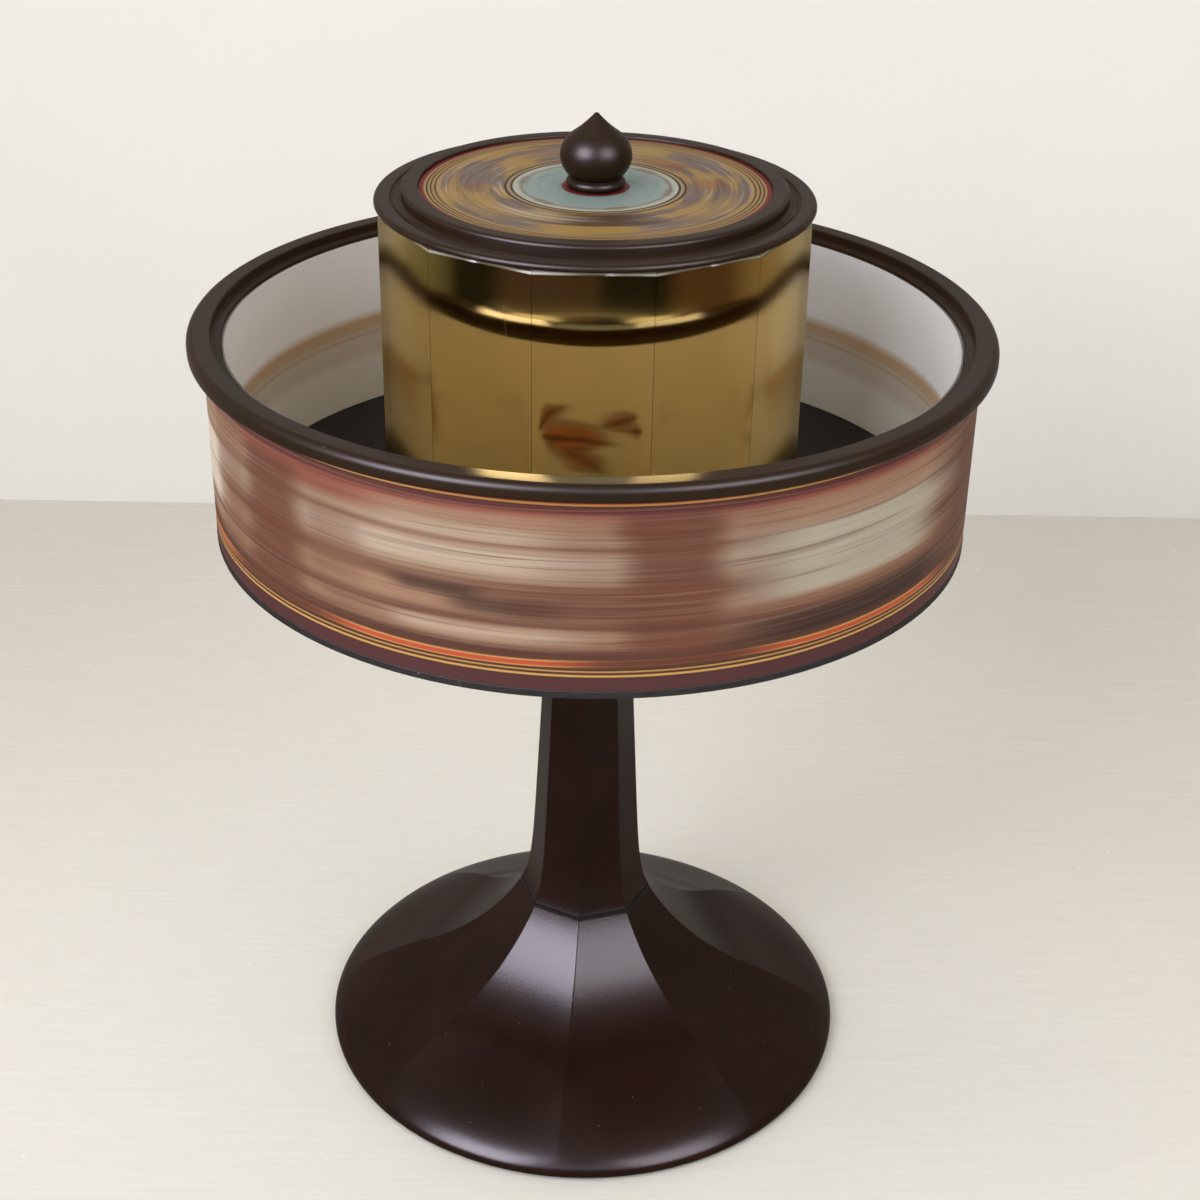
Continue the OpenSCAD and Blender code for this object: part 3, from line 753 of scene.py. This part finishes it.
def sweep_tree():
    """Sweeps a profile round the axis. Where a profile point's roundness is 0 the section
    is a polygon with soft edges, and where it is 1 the section is a circle."""
    tree = bpy.data.node_groups.new("swept_moulding", "GeometryNodeTree")
    tree.is_modifier = True
    b = Board(tree)
    sockets = {}
    for label, kind, default in (("Profile", "Geometry", None), ("Steps", "Int", 256),
                                 ("Corners", "Int", 8), ("Edge Softness", "Float", 0.001),
                                 ("Crowding", "Float", 0.0), ("Material", "Material", None)):
        socket = tree.interface.new_socket(label, in_out="INPUT", socket_type="NodeSocket" + kind)
        if default is not None:
            socket.default_value = default
        sockets[label] = socket.identifier
    tree.interface.new_socket("Moulding", in_out="OUTPUT", socket_type="NodeSocketGeometry")
    given = b.outputs(b.add("NodeGroupInput", out=None))
    profile, steps, corners, softness, crowding, material = given[:len(sockets)]

    # A grid with one column for each step, its points crowded a little towards the corners
    rows = b.add("GeometryNodeAttributeDomainSize", (profile,), component="MESH")
    grid = b.add("GeometryNodeMeshGrid", (1.0, 1.0, steps + 1, rows))
    index = b.add("GeometryNodeInputIndex")
    row = b.math("MODULO", index, rows)
    turn = b.math("FLOOR", (index + 0.5) / rows) / steps * tau
    angle = turn - crowding / corners * (turn * corners).sin()

    def sampled(kind, value):
        """A profile point's value, at the grid point's row."""
        return b.add("GeometryNodeSampleIndex", {"Geometry": profile, "Value": value,
                                                 "Index": row}, data_type=kind)

    corner, _, level = b.split(sampled("FLOAT_VECTOR", b.add("GeometryNodeInputPosition")))
    round_share = sampled("FLOAT", b.add("GeometryNodeInputNamedAttribute", ("roundness",),
                                         data_type="FLOAT"))

    # Radius of the polygon with its edges rounded, then of its blend into a circle
    half = pi / corners
    side = corner * half.cos()
    softness = b.math("MINIMUM", softness, side * 0.4)
    from_corner = b.math("PINGPONG", angle, half)
    from_middle = half - from_corner
    straight = side / from_middle.cos()
    core = side - softness
    centre = core / half.cos()
    drop = softness ** 2.0 - (centre * from_corner.sin()) ** 2.0
    curved = centre * from_corner.cos() + b.math("SQRT", drop.larger(0.0))
    is_edge = b.math("GREATER_THAN", side * from_middle.tan(), core * half.tan())
    faceted = straight + is_edge * (curved - straight)
    radius = faceted + round_share * (corner - faceted)
    place = b.join(radius * angle.cos(), radius * angle.sin(), level)

    made = b.add("GeometryNodeSetPosition", {"Geometry": grid, "Position": place})
    made = b.add("GeometryNodeMergeByDistance", {"Geometry": made, "Distance": 1e-6})
    made = b.add("GeometryNodeSetShadeSmooth", {"Geometry": made, "Shade Smooth": True})
    made = b.add("GeometryNodeRealizeInstances", (made,))
    made = b.add("GeometryNodeSetMaterial", {"Geometry": made, "Material": material})
    b.feed(b.add("NodeGroupOutput", out=None).inputs[0], made)
    return tree, sockets


sweep = {}


def swept(name, profile, steps, softness, crowding, material):
    """A closed piece swept from (radius, height, roundness) points given in millimetres,
    with its faces turned outwards and its hard edges marked."""
    if not sweep:
        sweep["tree"], sweep["sockets"] = sweep_tree()
    mesh = bpy.data.meshes.new(name + "_profile")
    mesh.from_pydata([(r * MM, 0.0, z * MM) for r, z, w in profile],
                     [(i, i + 1) for i in range(len(profile) - 1)], [])
    mesh.attributes.new("roundness", "FLOAT", "POINT").data.foreach_set(
        "value", [w for r, z, w in profile])
    source = bpy.data.objects.new(name + "_profile", mesh)
    bpy.context.scene.collection.objects.link(source)
    modifier = source.modifiers.new("sweep", "NODES")
    modifier.node_group = sweep["tree"]
    for label, value in (("Steps", steps), ("Corners", 8), ("Edge Softness", softness),
                         ("Crowding", crowding), ("Material", material)):
        modifier[sweep["sockets"][label]] = value
    made = bpy.data.meshes.new_from_object(
        source.evaluated_get(bpy.context.evaluated_depsgraph_get()))
    bpy.data.objects.remove(source)
    made.name = name
    work = bmesh.new()
    work.from_mesh(made)
    bmesh.ops.recalc_face_normals(work, faces=work.faces)
    work.to_mesh(made)
    work.free()
    made.shade_smooth()
    made.set_sharp_from_angle(angle=radians(40))
    if not made.materials:
        made.materials.append(material)
    piece = bpy.data.objects.new(name, made)
    bpy.context.scene.collection.objects.link(piece)
    return piece


def arc(centre_r, centre_z, radius, start, end, count=8):
    """Points along a round stretch of a profile."""
    angles = [radians(start + (end - start) * i / count) for i in range(count + 1)]
    return [(centre_r + radius * cos(a), centre_z + radius * sin(a)) for a in angles]


def curve(p0, p1, p2, p3, count):
    """Points along a cubic curve with four control points."""
    points = []
    for i in range(count + 1):
        t = i / count
        s = 1 - t
        points.append(tuple(s ** 3 * a + 3 * s * s * t * b + 3 * s * t * t * c + t ** 3 * d
                            for a, b, c, d in zip(p0, p1, p2, p3)))
    return points


def with_roundness(points, roundness):
    return [(r, z, roundness) for r, z in points]


def turned_profile(points):
    """A wholly round profile that ends where it starts."""
    return with_roundness(points + [points[0]], 1.0)


def size_of(node):
    """Largest radius, lowest and highest point of a CAD node, in millimetres."""
    low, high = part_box(node)
    return -low.y / MM, low.z / MM, high.z / MM


def foot_profile():
    """The flare from the joint to the crest, the shoulder, and the hollow inside."""
    foot_r, low, joint_z = size_of("foot")
    crest_r, crest_z, edge_z = 56.0, joint_z - 30.3, 2.6
    lean, slope = radians(28), radians(20)
    joint_pull, crest_pull, shoulder_pull, edge_pull = 14, 16.5, 10.8, 4.1
    flare = curve((JOINT_R, joint_z - 0.2),
                  (JOINT_R + joint_pull * sin(lean), joint_z - 0.2 - joint_pull * cos(lean)),
                  (crest_r - crest_pull * cos(slope), crest_z + crest_pull * sin(slope)),
                  (crest_r, crest_z), 48)
    shoulder = curve((crest_r, crest_z),
                     (crest_r + shoulder_pull * cos(slope), crest_z - shoulder_pull * sin(slope)),
                     (foot_r, edge_z + edge_pull), (foot_r, edge_z), 40)[1:]
    outside = arc(JOINT_R - 0.2, joint_z - 0.2, 0.2, 90, 12, 4) + flare + shoulder + arc(
        foot_r - 1.1, low + 1.1, 1.1, -4, -90, 6)

    # Inside: the recess for the plate, the hollow, the boss for the spindle and the socket
    wall, round_from = 5.0, 60.0
    plate_r, plate_top, hollow_r = 76.2, 3.8, 69.5
    boss_r, boss_low, spindle_r, socket_r = 11.0, 16.0, 3.3, 12.2
    hollow = [(r * cos(pi / 8) - wall, z - wall) for r, z in flare + shoulder]
    inside = [(plate_r, low), (plate_r, plate_top), (hollow_r, plate_top)]
    inside += [p for p in reversed(hollow) if p[1] < joint_z - 12 and p[0] < hollow_r][::4]
    inside += [(boss_r, joint_z - 12), (boss_r, boss_low), (spindle_r, boss_low),
               (spindle_r, joint_z - 4.4), (socket_r, joint_z - 4.4), (socket_r, joint_z)]
    return ([(r, z, eased((r - round_from) / (foot_r - round_from))) for r, z in outside]
            + with_roundness(inside, 1.0) + [(JOINT_R - 0.2, joint_z, 0.0)])


def column_profile():
    """A slow taper, a short flare above the joint, and the bore for the spindle."""
    neck_r, taper, flare_height = 11.6, 0.05, 6.5
    _, low, top = size_of("column")
    joint_z = low + 4.0
    flare = JOINT_R - neck_r - taper * (top - joint_z)

    def line(z):
        return neck_r + taper * (top - z) + flare * exp(-(z - joint_z) / flare_height)

    heights = [joint_z + 0.55 + (top - 0.95 - joint_z) * (i / 44) ** 1.8 for i in range(45)]
    outside = [(JOINT_R - 1.6, joint_z), (JOINT_R - 1.6, joint_z + 0.45),
               (JOINT_R - 0.12, joint_z + 0.45)]
    outside += [(line(z), z) for z in heights]
    outside += arc(neck_r - 0.4, top - 0.4, 0.4, 30, 90, 3)
    nut_r, spindle_r, spigot_r = 6.4, 3.3, 12.0
    inside = [(nut_r, top), (nut_r, top - 7.0), (spindle_r, top - 7.0), (spindle_r, low),
              (spigot_r, low), (spigot_r, joint_z)]
    return (with_roundness(outside, 0.0) + with_roundness(inside, 1.0)
            + with_roundness(outside[:1], 0.0))


def rim_profile():
    """A rounded outer bead, a flat top and a ledge inside."""
    rim_r, low, top = size_of("rim")
    print_r, lip_r, step_r = 110.65, 105.6, 108.3
    wall_top, ledge = low + 0.8, top - 2.7
    return turned_profile(
        [(print_r, wall_top), (lip_r, wall_top)]
        + arc(lip_r + 0.6, ledge - 0.6, 0.6, 180, 90, 6)
        + arc(step_r - 0.4, ledge + 0.4, 0.4, -90, 0, 4)
        + arc(step_r + 0.5, top - 0.5, 0.5, 180, 90, 6)
        + arc(rim_r - 2.2, top - 2.2, 2.2, 90, 0, 14)
        + arc(rim_r - 1.2, low + 1.2, 1.2, 0, -90, 8)
        + [(print_r, low)])


def lid_profile():
    """A bead, a cove and a raised ring round the printed disc."""
    lid_r, low, top = size_of("lid")
    stud_r, bead, floor = 2.2, low + 1.9, low + 3.4
    print_r = size_of("lid_print")[0]
    step_r = print_r + 4.9
    cove = curve((step_r + 2.7, bead - 0.4), (step_r + 2.2, bead - 0.8),
                 (step_r + 0.7, bead - 0.8), (step_r, bead - 0.2), 12)
    return turned_profile(
        [(stud_r, low), (lid_r - 0.6, low)]
        + arc(lid_r - 0.6, low + 0.6, 0.6, -70, 0, 4)
        + arc(lid_r - 1.2, bead - 1.2, 1.2, 0, 90, 10)
        + arc(step_r + 3.4, bead - 0.5, 0.5, 90, 170, 4)
        + cove
        + arc(step_r - 1.1, top - 1.1, 1.1, 0, 90, 10)
        + arc(print_r + 0.5, top - 0.4, 0.4, 90, 180, 5)
        + [(print_r + 0.1, floor), (stud_r, floor)])


def knob_profile():
    """A bead at the foot, a bulb, and a tip drawn up to a point."""
    bulb_r, low, top = size_of("knob")
    stud_r, bore_top, bulb_h = 2.02, low + 9.2, 0.83 * bulb_r
    start, end = radians(-47), radians(52)
    bulb_z = low + 2.85 - bulb_h * sin(start)
    angles = [start + (end - start) * i / 36 for i in range(37)]
    bulb = [(bulb_r * cos(a), bulb_z + bulb_h * sin(a)) for a in angles]
    neck = bulb[-1]
    tip = curve(neck, (neck[0] - 2.5, neck[1] + 1.75), (2.2, top - 1.85), (0.77, top - 0.47), 20)
    crown = arc(0.0, top - 1.0, 1.0, 40, 90, 6)
    crown[-1] = (0.0, crown[-1][1])
    return turned_profile(
        [(stud_r, low), (bulb_r - 3.0, low)]
        + arc(bulb_r - 3.1, low + 1.4, 1.4, -80, 70, 14)
        + [(bulb[0][0], bulb[0][1] - 0.15)]
        + bulb + tip[1:] + crown
        + [(0.0, bore_top), (stud_r, bore_top)])


# Operators: one for each piece or group of like pieces

class PRAXINOSCOPE_OT_stand(bpy.types.Operator):
    """Sweep the flared foot and the eight-sided column"""
    bl_idname = "praxinoscope.stand"
    bl_label = "Stand"

    def execute(self, context):
        s = context.scene.praxinoscope_moulding
        joint = 0.2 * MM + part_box("column")[0].z + 4 * MM
        finish = moulding_finish("stand_moulding", s.colour, s.warm_colour, 1500.0, 0.03 * MM,
                                 0.26, 0.30, joint=joint)
        for name, profile in (("foot", foot_profile()), ("column", column_profile())):
            piece = swept("stand_" + name, profile, s.stand_steps, s.edge_softness, 0.8, finish)
            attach(piece, "stand")
            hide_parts(name)
        return {"FINISHED"}


class PRAXINOSCOPE_OT_turned(bpy.types.Operator):
    """Turn the drum's rim, the lid and the knob"""
    bl_idname = "praxinoscope.turned"
    bl_label = "Rim, lid and knob"

    def execute(self, context):
        s = context.scene.praxinoscope_moulding
        finish = moulding_finish("turned_moulding", s.turned_colour, s.turned_warm, 900.0,
                                 0.01 * MM, 0.38, 0.7, flats=0.2)
        for name, profile in (("rim", rim_profile()), ("lid", lid_profile()),
                              ("knob", knob_profile())):
            piece = swept("turned_" + name, profile, s.turned_steps, 0.0, 0.0, finish)
            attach(piece, "drum")
            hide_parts(name)
        return {"FINISHED"}


class PRAXINOSCOPE_OT_mirrors(bpy.types.Operator):
    """Silver the twelve mirrors with a gold tint"""
    bl_idname = "praxinoscope.mirrors"
    bl_label = "Mirrors"

    def execute(self, context):
        names = [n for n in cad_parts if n.startswith("mirror_")]
        if not names:
            raise RuntimeError("the frame has no mirrors")
        dress(mirror_finish(context.scene.praxinoscope_mirror), *names)
        return {"FINISHED"}


class PRAXINOSCOPE_OT_papers(bpy.types.Operator):
    """Print the drum's wall, the lid's disc and the picture strip"""
    bl_idname = "praxinoscope.papers"
    bl_label = "Printed papers"

    def execute(self, context):
        colours = context.scene.praxinoscope_print
        dress(wall_print_finish(colours), "wall_print")
        dress(lid_print_finish(colours), "lid_print")
        dress(strip_finish(), "picture_strip")
        dress(lining_finish(), "wall_lining")
        return {"FINISHED"}


class PRAXINOSCOPE_OT_works(bpy.types.Operator):
    """Finish the board, wood, felt and metal parts inside and under it"""
    bl_idname = "praxinoscope.works"
    bl_label = "Board, wood and metal"

    def execute(self, context):
        dress(board_finish(), "drum_floor")
        dress(wood_finish(), "drum_wall", "core_base", "core_sides", "core_top")
        dress(metal_finish("zinc_steel", (0.62, 0.63, 0.65), (0.46, 0.47, 0.49), 0.22, 0.36,
                           turned=False),
              "plate_screws", "spindle", "base_washer", "base_nut", "column_washer", "column_nut",
              "hub_screws", "pivot_ball", "knob_stud", "knob_washer", "knob_nut")
        dress(metal_finish("turned_aluminium", (0.72, 0.73, 0.74), (0.56, 0.57, 0.58), 0.25, 0.4),
              "hub")
        dress(bronze_finish(), "lower_bush", "upper_bush")
        dress(felt_finish(), "felt_pad")
        dress(plate_finish(), "base_plate")
        return {"FINISHED"}


# The stage

def in_view(x, y, z):
    """A place given as the camera sees it, x to the right and y away, in the object's frame."""
    c, s = cos(CAMERA_TURN), sin(CAMERA_TURN)
    return Vector((x * c - y * s, x * s + y * c, z))


def stage_mesh(name, points, faces, material):
    mesh = bpy.data.meshes.new(name)
    mesh.from_pydata(points, [], faces)
    mesh.materials.append(material)
    thing = bpy.data.objects.new(name, mesh)
    bpy.context.scene.collection.objects.link(thing)
    return thing


def dark_flag(name, reach, count, ends, material):
    """A dark band that only reflections meet. It goes this many degrees each way of the
    camera's side, and ends gives the (radius, height) of both its edges at an angle."""
    points, faces = [], []
    for i in range(count + 1):
        a = radians(-reach + 2 * reach * i / count)
        points += [in_view(r * sin(a), -r * cos(a), z) for r, z in ends(a)]
        if i:
            faces.append((2 * i - 2, 2 * i - 1, 2 * i + 1, 2 * i))
    flag = stage_mesh(name, points, faces, material)
    for ray in ("camera", "diffuse", "shadow", "transmission"):
        setattr(flag, "visible_" + ray, False)


def one_sided(b):
    """Lets the camera look through a stage surface from behind."""
    back = b.add("ShaderNodeNewGeometry", out="Backfacing")
    clear = b.add("ShaderNodeBsdfTransparent")
    front = Value(b, b.shader.outputs[0])
    b.feed(b.output.inputs["Surface"], b.add("ShaderNodeMixShader", (back, front, clear)))
    return b.material


def table_finish(settings):
    """Pale table top with a fine grain from side to side and tiny specks. It is painted
    darker towards the wall and to the left, painted lighter round the foot, and painted
    darker in reflections close to the foot and on the left.
    """
    b = Finish("table_top", Roughness=0.85, Specular_IOR_Level=0.05)
    turned = b.stretch(b.place, turn=(0, 0, -CAMERA_TURN))
    side, away, _ = b.split(turned)
    around = b.vector("LENGTH", b.place)
    wander = b.noise(b.stretch(turned, (5, 9, 1)), 1.0, 2.0)
    line = b.math("SINE", away * 1900.0 + wander * 46.0)
    gate = b.noise(b.stretch(turned, (14, 420, 1)), 1.0, 3.0, 0.6)
    grain = b.step(line, 0.1, 1.0) * b.step(gate, 0.42, 0.72)
    cloud = b.noise(b.stretch(turned, (60, 500, 1)), 1.0, 4.0, 0.7)
    # Painted shade: darker towards the wall
    tone = b.mix(b.step(away, -0.35, 0.42), shade(settings.table, 0.98),
                 shade(settings.table, 0.79))
    # Painted light: lighter round the foot, where the object's shadow falls
    tone = b.mix(b.step(around, 0.42, 0.12) * 0.4, tone, printed(247, 243, 235))
    tone = b.mix(b.step(cloud, 0.3, 0.8) * 0.10, tone, printed(180, 170, 152))
    tone = b.mix(grain * 0.16, tone, printed(250, 247, 238))
    speck = b.use("specks", scale=150.0, size=0.075, share=0.10)
    tone = b.mix(speck * 0.8, tone, printed(252, 250, 245))

    # Painted shade: reflections show it darker close to the foot and on the left, and every ray
    # sees it a little darker to the left
    painted_shade = b.step(around, 0.24, 0.16).larger(
        b.step(side, 0.0, -0.05) * b.step(around, 0.6, 0.45))
    mirrored = b.add("ShaderNodeLightPath", out="Is Glossy Ray")
    painted_shade = mirrored * painted_shade * 0.55 + b.step(side, -0.02, -0.4, 0.0, 0.07)
    b.set("Base Color", b.mix(painted_shade, tone, BLACK))
    b.bump(cloud + grain, 0.04 * MM)
    return one_sided(b)


def wall_finish(settings):
    """Pale wall, seen from its front only, with painted light that makes it lighter upwards and
    painted shade that makes it darker low down, to the left and in reflections.
    """
    b = Finish("wall_paint", Roughness=0.9, Specular_IOR_Level=0.2)
    side, _, height = b.split(b.place)
    tone = b.mix(b.step(b.noise(b.place, 6.0, 2.0), 0.3, 0.7), settings.wall,
                 shade(settings.wall, 0.98))
    # Painted shade low down, then painted light towards the top
    low = b.mix(1.0, tone, (0.94, 0.94, 0.95), "MULTIPLY")
    tone = b.mix(b.step(height, 0.1, 0.7, 0.0, 0.75), low, printed(254, 253, 249))
    mirrored = b.add("ShaderNodeLightPath", out="Is Glossy Ray")
    # Painted shade: darker in reflections and to the left
    painted_shade = mirrored * 0.45 + b.step(side, 0.0, -0.5, 0.0, 0.08)
    b.set("Base Color", b.mix(painted_shade, tone, BLACK))
    return one_sided(b)


def painted_reflection_finish():
    """Painted reflection: dark brown, black, olive and tan bands round the camera's side, on
    sheets that only reflections meet, for the room that the mirrors show.
    """
    b = Finish("reflected_room_paint", Roughness=1.0, Specular_IOR_Level=0.0)
    black, brown, rust = (0.012, 0.012, 0.009), (0.050, 0.034, 0.030), (0.085, 0.048, 0.030)
    olive, tan = (0.17, 0.17, 0.12), (0.30, 0.25, 0.18)
    b.set("Base Color", b.bands(b.polar()[0] * 57.3, -160.0, 160.0, [
        (-130.0, tan), (-108.0, olive), (-94.0, olive), (-74.0, black), (-56.0, black),
        (-44.0, brown), (0.0, brown), (6.0, black), (34.0, black), (46.0, rust), (72.0, rust),
        (98.0, tan), (130.0, tan)]))
    return b.material


# Name, azimuth from the camera's side, elevation, distance, width, height, watts, colour,
# and what it lights: only what reflects it (with so many bounces), or all but reflections
LAMPS = (
    ("sheen_left", -43, 30, 2.0, 1.25, 1.2, 330.0, (0.85, 0.83, 1.0), "glossy", 0),
    ("sheen_right", 40, 30, 2.0, 1.2, 1.2, 160.0, (0.88, 0.87, 1.0), "glossy", 0),
    ("sheen_front", 0, 26, 2.0, 1.2, 0.45, 15.0, (0.68, 0.82, 1.0), "glossy", 3),
    ("light_left", -38, 33, 3.2, 1.7, 1.7, 48.0, (0.95, 0.97, 1.0), "diffuse", None),
    ("light_side", -75, 50, 3.0, 1.2, 1.2, 14.0, (0.95, 0.97, 1.0), "diffuse", None),
    ("light_right", 45, 45, 3.0, 1.6, 1.6, 12.0, (1.0, 1.0, 1.0), "diffuse", None),
    ("light_above", 10, 78, 2.3, 2.2, 2.2, 1.5, (1.0, 1.0, 1.0), "all", None),
)


def soft_light(name, azimuth, elevation, distance, width, height, power, colour, lights, bounces):
    """An area light that the camera doesn't see, turned to the middle of the drum."""
    a, e = radians(azimuth), radians(elevation)
    data = bpy.data.lights.new(name, "AREA")
    data.shape = "RECTANGLE"
    data.size, data.size_y = width, height
    data.energy, data.color = power, colour
    light = bpy.data.objects.new(name, data)
    target = Vector((0, 0, 0.2))
    light.location = target + distance * in_view(cos(e) * sin(a), -cos(e) * cos(a), sin(e))
    light.rotation_euler = (target - light.location).to_track_quat("-Z", "Y").to_euler()
    light.visible_camera = False
    if lights != "all":
        light.visible_diffuse, light.visible_glossy = lights == "diffuse", lights == "glossy"
    if bounces is not None:
        data.cycles.max_bounces = bounces
    bpy.context.scene.collection.objects.link(light)


def room_light(strength):
    """A grey world that is a little lighter overhead."""
    world = bpy.data.worlds.new("room")
    world.use_nodes = True
    b = Board(world.node_tree)
    up = b.split(b.add("ShaderNodeTexCoord", out="Generated"))[2]
    tone = b.mix(b.step(up, -0.1, 0.9), (0.88, 0.88, 0.88), (1.0, 1.0, 1.0))
    background = b.add("ShaderNodeBackground", {"Color": tone, "Strength": strength})
    b.feed(b.add("ShaderNodeOutputWorld", out=None).inputs["Surface"], background)
    bpy.context.scene.world = world


def place_camera(lens):
    """The camera as it was fitted to the photograph."""
    data = bpy.data.cameras.new("camera")
    data.lens, data.sensor_width = lens, 36.0
    camera = bpy.data.objects.new("camera", data)
    yaw, pitch, roll = (radians(a) for a in (-0.349, 28.507, 1.049))
    level = in_view(-sin(yaw), cos(yaw), 0.0)
    right = in_view(cos(yaw), sin(yaw), 0.0)
    ahead = cos(pitch) * level - Vector((0, 0, sin(pitch)))
    upward = sin(pitch) * level + Vector((0, 0, cos(pitch)))
    across = cos(roll) * right + sin(roll) * upward
    upward = -sin(roll) * right + cos(roll) * upward
    camera.matrix_world = Matrix.Translation(in_view(0.0, -0.54495, 0.45425)) @ Matrix(
        (across, upward, -ahead)).transposed().to_4x4()
    bpy.context.scene.collection.objects.link(camera)
    bpy.context.scene.camera = camera


class PRAXINOSCOPE_OT_stage(bpy.types.Operator):
    """Set up the table, the wall, the lights and the camera"""
    bl_idname = "praxinoscope.stage"
    bl_label = "Stage"

    def execute(self, context):
        s = context.scene.praxinoscope_stage
        table_r, wall_y, wall_h, half_w = 6, 0.39, 4, 5
        ring = [in_view(table_r * sin(tau * i / 96), -table_r * cos(tau * i / 96), 0.0)
                for i in range(96)]
        stage_mesh("table", ring, [tuple(range(96))], table_finish(s))
        corners = ((-half_w, wall_y, 0), (half_w, wall_y, 0), (half_w, wall_y, wall_h),
                   (-half_w, wall_y, wall_h))
        stage_mesh("wall", [in_view(*p) for p in corners], [(0, 1, 2, 3)], wall_finish(s))

        def floor_ends(angle):
            inner = 0.783 - 0.21 * eased((abs(angle) - radians(50)) / radians(35))
            return (inner, 0.001), (5.0, 0.001)

        # Sheets with a painted reflection, which only reflections meet
        dark = painted_reflection_finish()
        dark_flag("dark_floor", 150, 96, floor_ends, dark)
        dark_flag("dark_screen", 96, 48, lambda angle: ((2.6, 0.0), (2.6, 1.45)), dark)
        room_light(s.sky)
        for lamp in LAMPS:
            soft_light(*lamp)
        place_camera(s.lens)
        context.scene.view_settings.view_transform = "Standard"
        return {"FINISHED"}


class PRAXINOSCOPE_PT_pieces(bpy.types.Panel):
    """Lists the operators and their settings"""
    bl_idname = "PRAXINOSCOPE_PT_pieces"
    bl_label = "Praxinoscope"
    bl_space_type = "VIEW_3D"
    bl_region_type = "UI"
    bl_category = "Praxinoscope"

    def draw(self, context):
        for made in OPERATORS:
            self.layout.operator(made.bl_idname)
        for name in SETTINGS:
            box = self.layout.box()
            group = getattr(context.scene, name)
            for label in group.__annotations__:
                box.prop(group, label)


OPERATORS = (PRAXINOSCOPE_OT_stand, PRAXINOSCOPE_OT_turned, PRAXINOSCOPE_OT_mirrors,
             PRAXINOSCOPE_OT_papers, PRAXINOSCOPE_OT_works, PRAXINOSCOPE_OT_stage)
CLASSES = (*SETTINGS.values(), *OPERATORS, PRAXINOSCOPE_PT_pieces)


def register():
    for made in CLASSES:
        bpy.utils.register_class(made)
    for name, group in SETTINGS.items():
        setattr(bpy.types.Scene, name, PointerProperty(type=group))


def unregister():
    for name in SETTINGS:
        delattr(bpy.types.Scene, name)
    for made in reversed(CLASSES):
        bpy.utils.unregister_class(made)


def main():
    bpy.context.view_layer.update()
    register()
    for made in OPERATORS:
        group, name = made.bl_idname.split(".")
        getattr(getattr(bpy.ops, group), name)()


if __name__ == "__main__":
    main()
